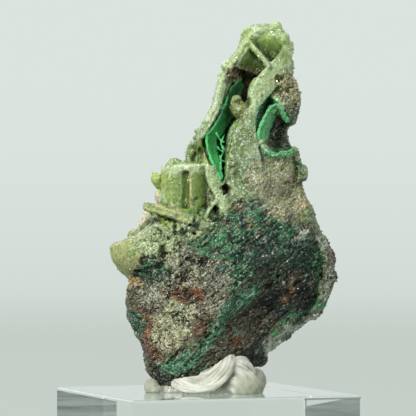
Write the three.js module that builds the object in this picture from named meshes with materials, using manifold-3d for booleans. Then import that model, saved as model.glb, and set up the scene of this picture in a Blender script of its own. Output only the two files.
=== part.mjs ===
// Malachite and chrysocolla specimen under a skin of drusy quartz, set in putty on a clear acrylic block.
// Millimetres, +Z up. The origin is the centre of the block's underside.
//
// The specimen and the putty are drawn in a frame of their own: x to the right and y to the back as the
// specimen shows its best side, and z up from the block's top. SPECIMEN_TURN turns it against the block.
import * as THREE from 'three';
import { ImprovedNoise } from 'three/addons/math/ImprovedNoise.js';
import { mergeVertices } from 'three/addons/utils/BufferGeometryUtils.js';
import Module from 'manifold-3d';

const BLOCK_WIDTH = 50.8;
const BLOCK_HEIGHT = 25.4;
const BLOCK_CHAMFER = 0.6;
const SPECIMEN_TURN = -20.5; // degrees
const GAP = 0.3; // between the block and what rests on it

const POINT_STEP = 0.02; // every point lies on a grid this fine, so no two are closer
const NOISE_ORIGIN = { y: 7.3, z: 2.9 };
const BODY_AROUND = 36;
const SECTION_POWER = 2.5; // 2 is an ellipse, more is squarer
const TOE_HEIGHT = 7; // pressed into the putty
const TOE_GAP = 0.5; // sideways; the sloping toe comes closer
const COARSE_GRAIN = { size: 10, height: 2.6 };
const FINE_GRAIN = { size: 4.2, height: 1.8 };
const RIDGES = { length: 11, width: 4.4, height: 3.4, level: 0.3 }; // crags that run up to the right
const SIDE_ROUGHNESS = 0.3; // against 1 in front and behind
const PLATE_GRAIN = { size: 2.1, share: 0.35 };
const LUMP_GRAIN = { size: 0.8, share: 0.16 };
const HOLLOW_FLOOR_WIDTH = 0.7; // against 1 halfway in

// The whole stone, from its toe to its tip: height, left, right, front, back.
const BODY_SECTIONS = [
  [1.3, -9.6, -6.4, -3.5, 0.5],
  [2.6, -11.0, -3.0, -5.5, 3.0],
  [4.2, -12.3, 6.0, -7.2, 5.0],
  [5.6, -12.7, 12.6, -8.4, 6.5],
  [8.5, -13.0, 13.4, -9.4, 8.0],
  [11.0, -13.8, 15.0, -10.2, 9.4],
  [13.0, -15.2, 19.0, -10.7, 10.4],
  [15.3, -16.5, 22.4, -11.2, 11.0],
  [17.4, -16.8, 25.5, -11.6, 11.4],
  [20.0, -16.7, 26.2, -12.0, 11.8],
  [23.0, -16.5, 27.4, -12.2, 12.0],
  [24.2, -16.9, 27.4, -12.2, 12.0],
  [25.9, -18.6, 27.3, -12.1, 11.9],
  [27.6, -19.7, 27.5, -12.0, 11.8],
  [29.5, -20.5, 27.3, -11.8, 11.6],
  [31.4, -20.2, 25.5, -11.4, 11.2],
  [32.4, -16.6, 25.0, -11.1, 11.0],
  [34.0, -13.6, 24.3, -10.6, 10.4],
  [36.4, -11.0, 23.3, -9.9, 9.6],
  [38.6, -7.4, 22.4, -9.3, 9.0],
  [41.5, -4.4, 21.0, -8.8, 8.4],
  [45.0, -3.6, 20.3, -8.4, 7.8],
  [49.0, -3.5, 19.9, -8.2, 7.2],
  [51.2, -3.2, 19.6, -8.0, 7.0],
  [53.4, -2.5, 19.0, -7.8, 6.8],
  [56.3, -0.6, 18.6, -7.4, 6.4],
  [58.8, 0.9, 19.4, -7.0, 6.0],
  [61.8, 2.0, 19.8, -6.6, 5.6],
  [65.0, 2.5, 19.2, -6.2, 5.2],
  [67.5, 2.9, 18.0, -5.8, 4.8],
  [70.0, 4.6, 18.6, -5.4, 4.4],
  [73.0, 6.8, 17.8, -4.9, 3.9],
  [75.5, 7.7, 17.0, -4.3, 3.2],
  [77.3, 8.4, 15.8, -3.4, 2.2],
  [78.2, 10.5, 14.0, -1.6, 0.8],
];

// Flat breaks through the stone: what lies beyond the plane is pressed back onto it.
const BREAKS = [
  { normal: [0.45, -0.82, -0.35], distance: 4.8 },
  { normal: [-0.55, -0.8, -0.2], distance: 9.0 },
  { normal: [0.2, 0.95, 0.05], distance: 11.4 },
  { normal: [-0.62, 0.74, -0.25], distance: 9.5 },
  { normal: [0.8, 0.58, -0.1], distance: 21.5 },
];

// The hollows, each as rows of height, left, right, with how far in it runs and how it narrows on the way.
const LEFT_CLEFT = {
  rows: [
    [44.0, 3.0, 3.7],
    [47.0, 1.5, 3.8],
    [49.1, 0.7, 3.9],
    [51.7, 0.1, 4.1],
    [54.2, -0.2, 4.4],
    [55.5, 0.5, 4.6],
    [58.0, 2.3, 6.4],
    [60.1, 3.1, 8.0],
    [62.2, 3.4, 9.1],
    [64.4, 3.9, 9.9],
    [66.5, 4.7, 11.2],
    [68.2, 5.5, 12.3],
    [69.9, 6.5, 12.2],
    [71.3, 7.6, 11.2],
    [73.0, 8.8, 10.0],
  ],
  mouth: -13,
  floor: 1.6,
  leftLean: 1.6,
  rightLean: -0.6,
};
const TOP_HOLLOW = {
  rows: [
    [69.9, 13.0, 14.4],
    [70.9, 12.2, 15.4],
    [72.2, 11.0, 16.3],
    [73.2, 10.4, 16.4],
    [74.3, 9.8, 16.0],
    [75.1, 10.8, 14.6],
  ],
  mouth: -13,
  floor: 0.2,
  leftLean: 0.2,
  rightLean: 0.4,
};
const RIGHT_HOLLOW = {
  rows: [
    [50.4, 13.8, 16.2],
    [50.9, 13.3, 17.8],
    [51.9, 12.8, 23.0],
    [53.2, 11.9, 23.0],
    [54.6, 10.5, 23.0],
    [56.3, 10.6, 23.0],
    [57.2, 10.7, 18.2],
    [58.6, 11.1, 17.5],
    [60.0, 11.5, 16.4],
    [61.2, 12.1, 15.0],
    [62.6, 12.6, 13.6],
  ],
  mouth: -13,
  floor: 1.4,
  leftLean: 0.5,
  rightLean: 0.4,
};
const SIDE_NOTCH = {
  rows: [
    [51.8, 17.9, 23],
    [53.4, 17.2, 23],
    [55.0, 16.8, 23],
    [56.6, 17.2, 23],
  ],
  mouth: -13,
  floor: 12,
  leftLean: 0.3,
  rightLean: 0,
};
const CREST_NOTCH = {
  rows: [
    [65.6, 14.4, 15.4],
    [66.6, 14.3, 16.0],
    [67.6, 14.6, 17.4],
  ],
  mouth: -13,
  floor: -2.4,
  leftLean: 0.2,
  rightLean: 0.2,
};
const SHOULDER_HOLES = [
  { at: [4.6, -7.5, 42.9], size: [0.9, 4.0, 1.5] },
  { at: [2.1, -9.0, 38.5], size: [0.8, 3.0, 0.9] },
  { at: [-10.9, -6.0, 36.2], size: [0.7, 3.0, 0.8] },
  { at: [-2.4, -9.6, 33.6], size: [0.8, 2.2, 0.6] },
];
const HOLLOWS = [LEFT_CLEFT, TOP_HOLLOW, RIGHT_HOLLOW, SIDE_NOTCH, CREST_NOTCH];

// Thin walls, ledges and struts of the boxwork: two edges, each a list of points, with stone between them.
const PLATES = {
  strutUnderTip: {
    near: [[9.0, -5.4, 73.9], [10.2, -5.8, 72.3], [11.7, -6.0, 70.6], [13.6, -6.2, 68.4]],
    far: [[9.2, -0.6, 74.3], [10.7, -0.8, 73.0], [12.3, -0.9, 71.3], [14.2, -1.0, 69.2]],
    thick: 1.0,
  },
  leftRim: {
    near: [[8.9, -5.2, 75.4], [8.2, -5.9, 73.2], [7.0, -6.3, 71.4], [5.7, -6.6, 69.6], [4.6, -6.8, 67.8]],
    far: [[8.7, -1.4, 75.4], [7.6, -1.6, 73.4], [6.3, -1.9, 71.6], [5.0, -2.1, 69.8], [3.9, -2.4, 68.0]],
    thick: 1.1,
  },
  leftWall: {
    near: [
      [3.5, -7.0, 66.4], [2.7, -7.4, 62.5], [2.0, -7.8, 59.5], [0.0, -8.2, 56.6],
      [-1.6, -8.7, 53.6], [-1.1, -9.0, 50.2], [0.3, -9.2, 47.0], [2.2, -9.4, 44.4],
    ],
    far: [
      [3.2, -1.0, 66.4], [2.4, -1.0, 62.5], [1.4, -1.0, 59.5], [0.0, -1.0, 56.6],
      [-1.6, -1.0, 53.6], [-1.6, -1.0, 50.2], [-0.6, -1.0, 47.0], [1.2, -1.0, 44.4],
    ],
    thick: 1.3,
  },
  cellWallLeft: {
    near: [[-9.1, -4.2, 46.7], [-9.2, -4.4, 42.8], [-8.9, -4.8, 39.4], [-8.0, -5.0, 37.2]],
    far: [[-5.3, -9.6, 46.9], [-5.2, -9.8, 42.8], [-5.4, -10.0, 39.4], [-5.0, -10.2, 37.2]],
    thick: 1.2,
    bulge: 1.3,
  },
  cellWallMiddle: {
    near: [[-3.5, -9.9, 47.0], [-3.6, -10.0, 42.8], [-3.6, -10.2, 39.8], [-4.0, -10.4, 37.0]],
    far: [[-4.3, -4.6, 47.0], [-4.3, -4.6, 42.8], [-4.4, -4.6, 39.8], [-4.4, -4.6, 37.0]],
    thick: 0.9,
  },
  cellWallRight: {
    near: [[-3.5, -7.9, 47.2], [-3.5, -8.0, 42.8], [-3.4, -8.3, 39.8], [-3.2, -8.6, 36.6]],
    far: [[1.0, -6.6, 47.2], [1.1, -6.6, 42.8], [1.2, -6.8, 39.8], [1.0, -7.2, 36.6]],
    thick: 1.2,
    bulge: -0.7,
  },
  cellRim: {
    near: [
      [-9.4, -5.0, 47.2], [-7.3, -8.6, 47.5], [-4.6, -9.9, 47.6], [-1.6, -9.2, 47.7],
      [0.6, -8.4, 47.8],
    ],
    far: [
      [-7.6, -0.6, 47.6], [-5.8, -1.6, 47.9], [-3.8, -2.4, 48.1], [-1.4, -2.6, 48.3],
      [0.8, -2.8, 48.4],
    ],
    thick: 1.3,
  },
  cellBack: {
    near: [[-8.7, -1.8, 47.2], [-8.7, -1.6, 43.0], [-8.2, -1.2, 37.6]],
    far: [[-2.0, -2.8, 47.8], [-2.0, -2.6, 43.0], [-2.0, -2.2, 37.6]],
    thick: 2.2,
  },
  paleFork: {
    near: [[0.4, -9.4, 47.5], [0.9, -9.7, 44.6], [1.9, -9.9, 42.0], [2.7, -10.0, 40.2]],
    far: [[1.8, -5.6, 47.8], [2.3, -5.8, 44.6], [3.2, -6.0, 42.0], [4.0, -6.2, 40.2]],
    thick: 1.5,
  },
  forkRightArm: {
    near: [[2.7, -9.8, 40.7], [4.6, -9.8, 40.9], [6.4, -9.6, 41.6]],
    far: [[2.9, -6.4, 40.4], [4.7, -6.4, 40.6], [6.5, -6.2, 41.3]],
    thick: 1.3,
  },
  ledge: {
    near: [
      [-12.9, -6.4, 39.7], [-10.6, -8.8, 39.6], [-7.7, -10.4, 38.7], [-4.3, -11.2, 37.2],
      [-1.8, -11.4, 36.4],
    ],
    far: [
      [-11.0, -0.6, 38.6], [-8.6, -2.4, 38.4], [-6.0, -3.4, 37.8], [-3.2, -4.4, 36.8],
      [-1.2, -5.2, 35.8],
    ],
    thick: 0.95,
  },
  ledgePost: {
    near: [[-11.9, -7.0, 38.8], [-11.0, -8.0, 37.2], [-9.7, -9.4, 35.2], [-8.6, -10.6, 33.0]],
    far: [[-9.7, -6.4, 38.2], [-8.8, -7.8, 36.8], [-7.6, -9.2, 34.8], [-6.6, -10.4, 33.0]],
    thick: 1.5,
  },
  lipFold: {
    near: [[-19.4, -4.6, 31.2], [-16.6, -7.8, 31.6], [-13.0, -10.2, 31.8], [-9.4, -11.4, 31.6]],
    far: [[-17.6, -3.8, 26.4], [-15.2, -7.0, 26.6], [-12.4, -9.6, 27.2], [-9.4, -11.2, 27.8]],
    thick: 1.9,
    bulge: 0.9,
  },
  rightCrust: {
    near: [
      [24.2, -6.6, 33.0], [25.4, -6.4, 29.6], [26.1, -6.2, 26.4], [26.0, -6.0, 22.6],
      [24.8, -5.8, 19.0], [22.6, -5.4, 16.4],
    ],
    far: [
      [23.8, 5.0, 33.0], [25.8, 5.2, 29.6], [26.4, 5.4, 26.4], [26.2, 5.6, 22.6],
      [24.9, 5.8, 18.4], [22.4, 6.0, 15.6],
    ],
    thick: 1.8,
  },
  underCrust: {
    near: [
      [23.8, -0.8, 17.0], [20.2, -0.6, 15.1], [17.4, -0.4, 12.6], [15.0, -0.2, 10.6],
      [13.4, 0.0, 8.8],
    ],
    far: [[23.4, 8.4, 16.6], [20.2, 8.2, 15.0], [17.4, 7.8, 12.6], [15.0, 7.2, 10.6], [13.4, 6.6, 8.8]],
    thick: 1.7,
  },
};

// Rounded growths of druse: where, and half sizes.
const LUMPS = [
  { at: [14.9, -2.2, 77.2], size: [1.4, 1.6, 1.5] },
  { at: [16.7, -2.8, 74.8], size: [1.2, 1.7, 1.7] },
  { at: [17.3, -2.6, 69.2], size: [1.5, 2.1, 1.7] },
  { at: [4.6, -4.2, 69.2], size: [1.3, 1.7, 1.4] },
  { at: [3.9, -4.6, 66.7], size: [1.5, 1.8, 1.4] },
  { at: [17.0, -3.6, 65.2], size: [2.5, 3.2, 1.9] },
  { at: [17.9, -3.2, 62.2], size: [2.2, 3.4, 2.7] },
  { at: [16.6, -3.8, 60.0], size: [2.7, 3.4, 2.2] },
  { at: [6.3, -5.6, 60.1], size: [1.4, 1.5, 1.4] },
  { at: [-9.9, -4.4, 44.4], size: [1.4, 1.5, 1.6] },
  { at: [-6.6, -4.6, 48.6], size: [1.6, 1.6, 1.1] },
  { at: [-2.7, -1.6, 50.4], size: [1.6, 2.4, 2.6] },
  { at: [-9.3, 3.4, 41.6], size: [1.7, 2.8, 3.0] },
  { at: [-11.8, 2.6, 36.6], size: [1.8, 3.0, 2.6] },
  { at: [-14.4, 2.4, 33.2], size: [2.4, 3.4, 1.7] },
  { at: [-13.6, -9.0, 30.0], size: [3.2, 2.2, 2.4] },
  { at: [10.4, -5.2, 60.4], size: [1.9, 2.5, 6.2] },
];

// Malachite in the hollows: blades between two edges.
const LEFT_MALACHITE = [
  {
    near: [
      [7.2, -3.6, 66.2], [5.6, -4.5, 64.4], [5.0, -5.6, 62.4], [4.7, -6.2, 59.9],
      [3.4, -6.9, 57.4], [1.4, -7.6, 55.2],
    ],
    far: [
      [8.0, -1.2, 65.0], [7.3, -1.3, 63.2], [6.4, -1.5, 61.2], [5.3, -1.7, 59.0],
      [4.1, -2.2, 56.9], [2.8, -3.2, 54.8],
    ],
    thick: 0.8,
  },
  {
    near: [
      [1.4, -7.6, 55.2], [1.0, -8.0, 53.6], [1.5, -8.3, 51.2], [2.2, -8.7, 49.4],
      [2.8, -9.3, 48.0], [3.4, -9.9, 46.6],
    ],
    far: [
      [2.8, -3.2, 54.8], [2.3, -3.8, 53.2], [2.5, -4.4, 51.2], [2.8, -5.8, 49.6],
      [3.2, -7.4, 48.4], [3.6, -8.6, 47.2],
    ],
    thick: 0.8,
  },
];
const RIGHT_MALACHITE = [
  {
    near: [
      [12.9, -8.0, 53.4], [12.6, -8.2, 54.4], [12.7, -8.0, 55.6], [13.1, -7.7, 56.8],
      [13.6, -7.4, 58.0], [14.1, -7.2, 59.2],
    ],
    far: [
      [13.7, -3.6, 53.6], [13.7, -3.5, 54.4], [13.8, -3.4, 55.6], [13.8, -3.3, 56.8],
      [13.7, -3.5, 57.8], [13.7, -4.2, 58.6],
    ],
    thick: 0.9,
  },
];

// Putty, pressed up around the toe of the stone.
const PUTTY_LUMPS = [
  { at: [-0.2, -1.6, 1.6], size: [12.6, 9.6, 3.0], turn: 0 },
  { at: [-2.0, -9.4, 2.4], size: [5.6, 4.0, 3.0], turn: -12 },
  { at: [2.6, -9.8, 3.8], size: [3.6, 3.4, 3.6], turn: -30 },
  { at: [7.0, -8.2, 4.6], size: [5.0, 3.8, 4.9], turn: 8 },
  { at: [10.0, -2.6, 2.4], size: [2.9, 6.4, 3.6], turn: 0 },
  { at: [-10.6, -0.6, 1.4], size: [2.5, 5.2, 2.4], turn: 6 },
  { at: [1.0, 6.2, 2.4], size: [8.6, 4.4, 3.8], turn: 0 },
];

const wasm = await Module();
wasm.setup();
const perlin = new ImprovedNoise();

const mix = (a, b, t) => a + (b - a) * t;

// Smooth noise from -1 to 1 whose bumps are about as wide as the size.
function grain({ x, y, z }, size) {
  return perlin.noise(x / size, y / size + NOISE_ORIGIN.y, z / size + NOISE_ORIGIN.z);
}

// A closed geometry as a solid with its points on the grid, turned right side out if its mapping mirrored it.
function solidOf(geometry) {
  const bare = new THREE.BufferGeometry();
  const values = geometry.getAttribute('position').array;
  const onGrid = values.map((value) => Math.round(value / POINT_STEP) * POINT_STEP);
  bare.setAttribute('position', new THREE.BufferAttribute(onGrid, 3));
  bare.setIndex(geometry.index);
  const merged = mergeVertices(bare, POINT_STEP / 4);
  const corners = new Uint32Array(cornersOfFaces(merged));
  const make = () => new wasm.Manifold(new wasm.Mesh({
    numProp: 3,
    vertProperties: new Float32Array(merged.attributes.position.array),
    triVerts: corners,
  }));
  const solid = make();
  if (solid.volume() > 0) return solid;
  for (let i = 0; i < corners.length; i += 3) {
    [corners[i], corners[i + 1]] = [corners[i + 1], corners[i]];
  }
  return make();
}

// The corners of the triangles that still have three different ones.
function cornersOfFaces({ index: { array } }) {
  const faces = [];
  for (let i = 0; i < array.length; i += 3) {
    const face = [array[i], array[i + 1], array[i + 2]];
    if (new Set(face).size === 3) faces.push(...face);
  }
  return faces;
}

function geometryOf(solid) {
  const mesh = solid.getMesh();
  const geometry = new THREE.BufferGeometry();
  geometry.setAttribute('position', new THREE.BufferAttribute(mesh.vertProperties, 3));
  geometry.setIndex(new THREE.BufferAttribute(mesh.triVerts, 1));
  geometry.computeVertexNormals();
  return geometry;
}

const joined = (solids) => solids.reduce((all, solid) => all.add(solid));

// The largest single body of a solid, without loose crumbs or sealed cavities.
function wholePiece(solid) {
  const bodies = solidOf(geometryOf(solid)).decompose();
  return bodies.reduce((largest, body) => (body.volume() > largest.volume() ? body : largest));
}

// The value of a table's columns at a given first column, by straight lines between its rows.
function readTable(rows, height) {
  const last = rows.length - 1;
  if (height <= rows[0][0]) return rows[0].slice(1);
  if (height >= rows[last][0]) return rows[last].slice(1);
  const above = rows.findIndex((row) => row[0] > height);
  const [low, high] = [rows[above - 1], rows[above]];
  const t = (height - low[0]) / (high[0] - low[0]);
  return low.slice(1).map((value, i) => mix(value, high[i + 1], t));
}

// A point at share t along a list of points.
function along(points, t) {
  const place = t * (points.length - 1);
  const i = Math.min(Math.floor(place), points.length - 2);
  return new THREE.Vector3(...points[i]).lerp(new THREE.Vector3(...points[i + 1]), place - i);
}

// Each vertex of a finely divided box, read as three shares from 0 to 1, is moved to place(u, v, w).
function shapedBox(across, deep, rows, place) {
  const geometry = new THREE.BoxGeometry(1, 1, 1, across, deep, rows);
  const position = geometry.attributes.position;
  for (let i = 0; i < position.count; i += 1) {
    const p = place(position.getX(i) + 0.5, position.getY(i) + 0.5, position.getZ(i) + 0.5);
    position.setXYZ(i, p.x, p.y, p.z);
  }
  return solidOf(geometry);
}

// The stone: a sphere's rings of vertices, each moved to its section, pressed behind the breaks, roughened.
function makeBody(grown = 0) {
  const rings = BODY_SECTIONS.length + 1;
  const geometry = new THREE.SphereGeometry(1, BODY_AROUND, rings);
  geometry.rotateX(Math.PI / 2);
  const position = geometry.attributes.position;
  for (let i = 0; i < position.count; i += 1) {
    const unit = new THREE.Vector3().fromBufferAttribute(position, i);
    const ring = Math.round((Math.acos(THREE.MathUtils.clamp(-unit.z, -1, 1)) / Math.PI) * rings);
    const section = BODY_SECTIONS[THREE.MathUtils.clamp(ring - 1, 0, rings - 2)];
    const angle = Math.atan2(unit.y, unit.x);
    const closing = ring === 0 || ring === rings ? 0 : 1;
    const point = sectionPoint(angle, section, closing, grown);
    BREAKS.forEach((plane) => pressBack(point, plane, grown));
    roughen(point, angle, closing);
    position.setXYZ(i, point.x, point.y, point.z);
  }
  return solidOf(geometry);
}

function sectionPoint(angle, [height, left, right, front, back], closing, grown) {
  const power = (value) => Math.sign(value) * Math.abs(value) ** (2 / SECTION_POWER);
  const x = (left + right) / 2 + closing * power(Math.cos(angle)) * ((right - left) / 2 + grown);
  const y = (front + back) / 2 + closing * power(Math.sin(angle)) * ((back - front) / 2 + grown);
  return new THREE.Vector3(x, y, height - grown);
}

// The front and back are rougher than the sides, which keep the outline of the sections. The toe is smooth.
function roughen(point, angle, closing) {
  const aboveToe = THREE.MathUtils.smoothstep(point.z, TOE_HEIGHT, 2 * TOE_HEIGHT);
  const share = closing * aboveToe * mix(SIDE_ROUGHNESS, 1, Math.abs(Math.sin(angle)));
  const out = new THREE.Vector3(Math.cos(angle), Math.sin(angle), 0);
  const coarse = grain(point, COARSE_GRAIN.size) * COARSE_GRAIN.height;
  const fine = grain(point, FINE_GRAIN.size) * FINE_GRAIN.height;
  point.addScaledVector(out, (coarse + fine + ridge(point)) * share);
}

function ridge({ x, y, z }) {
  const slope = Math.SQRT1_2;
  const place = [((x + z) * slope) / RIDGES.length, y / RIDGES.length, ((z - x) * slope) / RIDGES.width];
  return (RIDGES.level - Math.abs(perlin.noise(...place))) * RIDGES.height;
}

function pressBack(point, plane, grown) {
  const normal = new THREE.Vector3(...plane.normal).normalize();
  const beyond = normal.dot(point) - plane.distance - grown;
  if (beyond > 0) point.addScaledVector(normal, -beyond);
}

// A hollow runs from its mouth in front of the stone to its floor, and narrows as it goes in.
function makeHollow({ rows, mouth, floor, leftLean, rightLean }) {
  const [low, high] = [rows[0][0], rows.at(-1)[0]];
  return shapedBox(2, 2, rows.length + 2, (u, v, w) => {
    const height = mix(low, high, w);
    const [left, right] = readTable(rows, height);
    const rounding = v === 1 ? HOLLOW_FLOOR_WIDTH : 1;
    const middle = (left + leftLean * v + right - rightLean * v) / 2;
    const half = ((right - rightLean * v - left - leftLean * v) / 2) * rounding;
    return new THREE.Vector3(middle + (2 * u - 1) * half, mix(mouth, floor, v), height);
  });
}

// A plate of stone between two edges, bowed out by its bulge.
function makePlate({ near, far, thick, bulge = 0 }) {
  const rows = Math.max(near.length, far.length) + 1;
  return shapedBox(bulge ? 4 : 2, 1, rows, (u, v, w) => {
    const [a, b] = [along(near, w), along(far, w)];
    const [behind, ahead] = [Math.max(w - 0.05, 0), Math.min(w + 0.05, 1)];
    const lengthwise = along(near, ahead).add(along(far, ahead));
    lengthwise.sub(along(near, behind)).sub(along(far, behind));
    const normal = b.clone().sub(a).cross(lengthwise).normalize();
    const point = a.clone().lerp(b, u);
    const uneven = 1 + PLATE_GRAIN.share * grain(point, PLATE_GRAIN.size);
    const bow = bulge * 4 * u * (1 - u);
    return point.addScaledVector(normal, bow + (v - 0.5) * thick * uneven);
  });
}

// A rounded growth with an uneven skin.
function makeLump({ at, size, turn = 0 }, detail) {
  const geometry = new THREE.IcosahedronGeometry(1, detail);
  const position = geometry.attributes.position;
  for (let i = 0; i < position.count; i += 1) {
    const point = new THREE.Vector3().fromBufferAttribute(position, i);
    const place = point.clone().add(new THREE.Vector3(...at));
    const uneven = 1 + LUMP_GRAIN.share * grain(place, LUMP_GRAIN.size);
    point.multiplyScalar(uneven).multiply(new THREE.Vector3(...size));
    position.setXYZ(i, point.x, point.y, point.z);
  }
  geometry.rotateY(THREE.MathUtils.degToRad(turn));
  geometry.translate(...at);
  return solidOf(geometry);
}

function makeSpecimen() {
  const grown = [...Object.values(PLATES).map(makePlate), ...LUMPS.map((lump) => makeLump(lump, 1))];
  const holes = SHOULDER_HOLES.map((hole) => makeLump(hole, 0));
  const body = makeBody().subtract(joined(HOLLOWS.map(makeHollow)));
  return wholePiece(body.add(joined(grown)).subtract(joined(holes)));
}

function makePutty() {
  const space = new THREE.BoxGeometry(BLOCK_WIDTH, BLOCK_WIDTH, BLOCK_WIDTH);
  const aboveBlock = solidOf(space.translate(0, 0, BLOCK_WIDTH / 2 + GAP));
  const pressed = joined(PUTTY_LUMPS.map((lump) => makeLump(lump, 1))).intersect(aboveBlock);
  return wholePiece(pressed.subtract(makeBody(TOE_GAP)));
}

function makeBlock() {
  const half = BLOCK_WIDTH / 2 - BLOCK_CHAMFER;
  const cut = half - BLOCK_CHAMFER;
  const corners = [
    [half, cut], [cut, half], [-cut, half], [-half, cut],
    [-half, -cut], [-cut, -half], [cut, -half], [half, -cut],
  ];
  const outline = new THREE.Shape(corners.map(([x, y]) => new THREE.Vector2(x, y)));
  const geometry = new THREE.ExtrudeGeometry(outline, {
    depth: BLOCK_HEIGHT - 2 * BLOCK_CHAMFER,
    bevelThickness: BLOCK_CHAMFER,
    bevelSize: BLOCK_CHAMFER,
    bevelSegments: 1,
  });
  return geometry.translate(0, 0, BLOCK_CHAMFER);
}

const finishes = {
  stone: new THREE.MeshStandardMaterial({ color: 0x7d8f66, roughness: 0.75, metalness: 0 }),
  malachite: new THREE.MeshStandardMaterial({ color: 0x1f9a52, roughness: 0.6, metalness: 0 }),
  putty: new THREE.MeshStandardMaterial({ color: 0xd9dccb, roughness: 0.85, metalness: 0 }),
  acrylic: new THREE.MeshStandardMaterial({
    color: 0xe4ecea,
    roughness: 0.05,
    metalness: 0,
    transparent: true,
    opacity: 0.35,
  }),
};

function named(name, geometry, material) {
  const mesh = new THREE.Mesh(geometry, material);
  mesh.name = name;
  return mesh;
}

const makeMalachite = (blades) => wholePiece(joined(blades.map(makePlate)));

const stone = new THREE.Group();
stone.position.z = BLOCK_HEIGHT;
stone.rotation.z = THREE.MathUtils.degToRad(SPECIMEN_TURN);
stone.add(named('specimen', geometryOf(makeSpecimen()), finishes.stone));
stone.add(named('malachite_left_cleft', geometryOf(makeMalachite(LEFT_MALACHITE)), finishes.malachite));
stone.add(named('malachite_right_hollow', geometryOf(makeMalachite(RIGHT_MALACHITE)), finishes.malachite));
stone.add(named('putty', geometryOf(makePutty()), finishes.putty));

const part = new THREE.Group();
part.add(named('acrylic_block', makeBlock(), finishes.acrylic));
part.add(stone);

export default part;
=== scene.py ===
# Malachite and chrysocolla specimen under drusy quartz, set in putty on a clear acrylic block.
# Shapes are drawn in millimetres in the specimen's own frame: x to the right and y to the back as it
# shows its best side, z up from the block's top. toPart brings them to the part's frame, in metres.
import itertools
import math
import random

import bmesh
import bpy
import numpy as np
from mathutils import Matrix, Vector


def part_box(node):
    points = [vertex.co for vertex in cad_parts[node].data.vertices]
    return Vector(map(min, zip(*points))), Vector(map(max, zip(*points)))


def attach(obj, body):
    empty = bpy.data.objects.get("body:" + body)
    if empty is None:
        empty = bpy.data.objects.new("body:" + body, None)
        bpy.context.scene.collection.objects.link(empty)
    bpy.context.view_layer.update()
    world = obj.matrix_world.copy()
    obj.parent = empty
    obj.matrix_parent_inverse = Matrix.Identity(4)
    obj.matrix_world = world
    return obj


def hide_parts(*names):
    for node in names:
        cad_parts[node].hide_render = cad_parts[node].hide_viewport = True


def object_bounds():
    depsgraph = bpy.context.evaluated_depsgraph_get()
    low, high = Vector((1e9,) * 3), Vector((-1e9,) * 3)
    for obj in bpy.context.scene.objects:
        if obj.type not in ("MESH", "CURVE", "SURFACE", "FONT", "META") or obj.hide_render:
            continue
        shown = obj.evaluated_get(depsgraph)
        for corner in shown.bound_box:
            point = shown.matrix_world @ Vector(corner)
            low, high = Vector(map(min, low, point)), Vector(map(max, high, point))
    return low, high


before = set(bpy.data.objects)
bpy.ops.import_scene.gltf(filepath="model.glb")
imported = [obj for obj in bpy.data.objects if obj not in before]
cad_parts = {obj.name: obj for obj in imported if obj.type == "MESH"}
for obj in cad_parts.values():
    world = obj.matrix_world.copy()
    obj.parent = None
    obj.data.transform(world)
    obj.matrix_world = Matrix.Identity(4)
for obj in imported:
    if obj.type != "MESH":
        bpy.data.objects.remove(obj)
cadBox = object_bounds()

scene = bpy.context.scene
specimenTurn = math.radians(-20.5)
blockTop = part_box("acrylic_block")[1].z
toPart = Matrix.Translation((0, 0, blockTop)) @ Matrix.Rotation(specimenTurn, 4, "Z") @ Matrix.Scale(0.001, 4)
toSpecimen = toPart.inverted()


# Colours are written as they look on a screen, 0 to 255, and made linear for the shaders.
def paint(red, green, blue):
    linear = [((value / 255 + 0.055) / 1.055) ** 2.4 for value in (red, green, blue)]
    return (*linear, 1.0)


# Camera

cameraSettings = {
    "place": (0.43, -638.0, 38.98),  # level with the middle of the specimen
    "lens": 259.2,
    "sensor": 36.0,
}


def makeCamera(s):
    data = bpy.data.cameras.new("camera")
    data.lens = s["lens"]
    data.sensor_width = s["sensor"]
    data.clip_start = 0.05
    data.clip_end = 20
    camera = bpy.data.objects.new("camera", data)
    scene.collection.objects.link(camera)
    camera.location = toPart @ Vector(s["place"])
    camera.rotation_euler = (math.pi / 2, 0, specimenTurn)
    scene.camera = camera


makeCamera(cameraSettings)


# Mesh helpers

def newObject(name, mesh):
    made = bpy.data.objects.new(name, mesh)
    scene.collection.objects.link(made)
    return made


def meshOf(name, bm):
    mesh = bpy.data.meshes.new(name)
    bm.to_mesh(mesh)
    bm.free()
    return mesh


def addMesh(bm, mesh):
    bm.from_mesh(mesh)
    bpy.data.meshes.remove(mesh)


# The object's mesh with its modifiers applied.
def bakedMesh(thing):
    graph = bpy.context.evaluated_depsgraph_get()
    mesh = bpy.data.meshes.new_from_object(thing.evaluated_get(graph))
    old = thing.data
    thing.modifiers.clear()
    thing.data = mesh
    bpy.data.meshes.remove(old)
    return mesh


def addModifier(thing, kind, **settings):
    modifier = thing.modifiers.new(kind.lower(), kind)
    for key, value in settings.items():
        setattr(modifier, key, value)
    return modifier


def remeshed(thing, voxel, smoothing):
    addModifier(thing, "REMESH", mode="VOXEL", voxel_size=voxel, use_smooth_shade=True)
    if smoothing:
        addModifier(thing, "SMOOTH", factor=0.5, iterations=smoothing)
    return bakedMesh(thing)


# One property of all of a mesh's points, edges or faces.
def readOut(things, name, width=1, kind=float):
    values = np.empty(len(things) * width, dtype=kind)
    things.foreach_get(name, values)
    return values if width == 1 else values.reshape(-1, width)


def pointsOf(mesh):
    return readOut(mesh.vertices, "co", 3)


def normalsOf(mesh):
    mesh.update()
    return readOut(mesh.vertex_normals, "vector", 3)


def movePoints(mesh, points):
    mesh.vertices.foreach_set("co", points.ravel())
    mesh.update()


def storeNumber(mesh, name, values):
    layer = mesh.attributes.new(name, "FLOAT", "POINT")
    layer.data.foreach_set("value", np.ascontiguousarray(values, dtype=np.float32))


def storeColour(mesh, name, colours):
    layer = mesh.attributes.new(name, "FLOAT_COLOR", "POINT")
    filled = np.ones((len(colours), 4), dtype=np.float32)
    filled[:, :3] = colours
    layer.data.foreach_set("color", filled.ravel())


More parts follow.
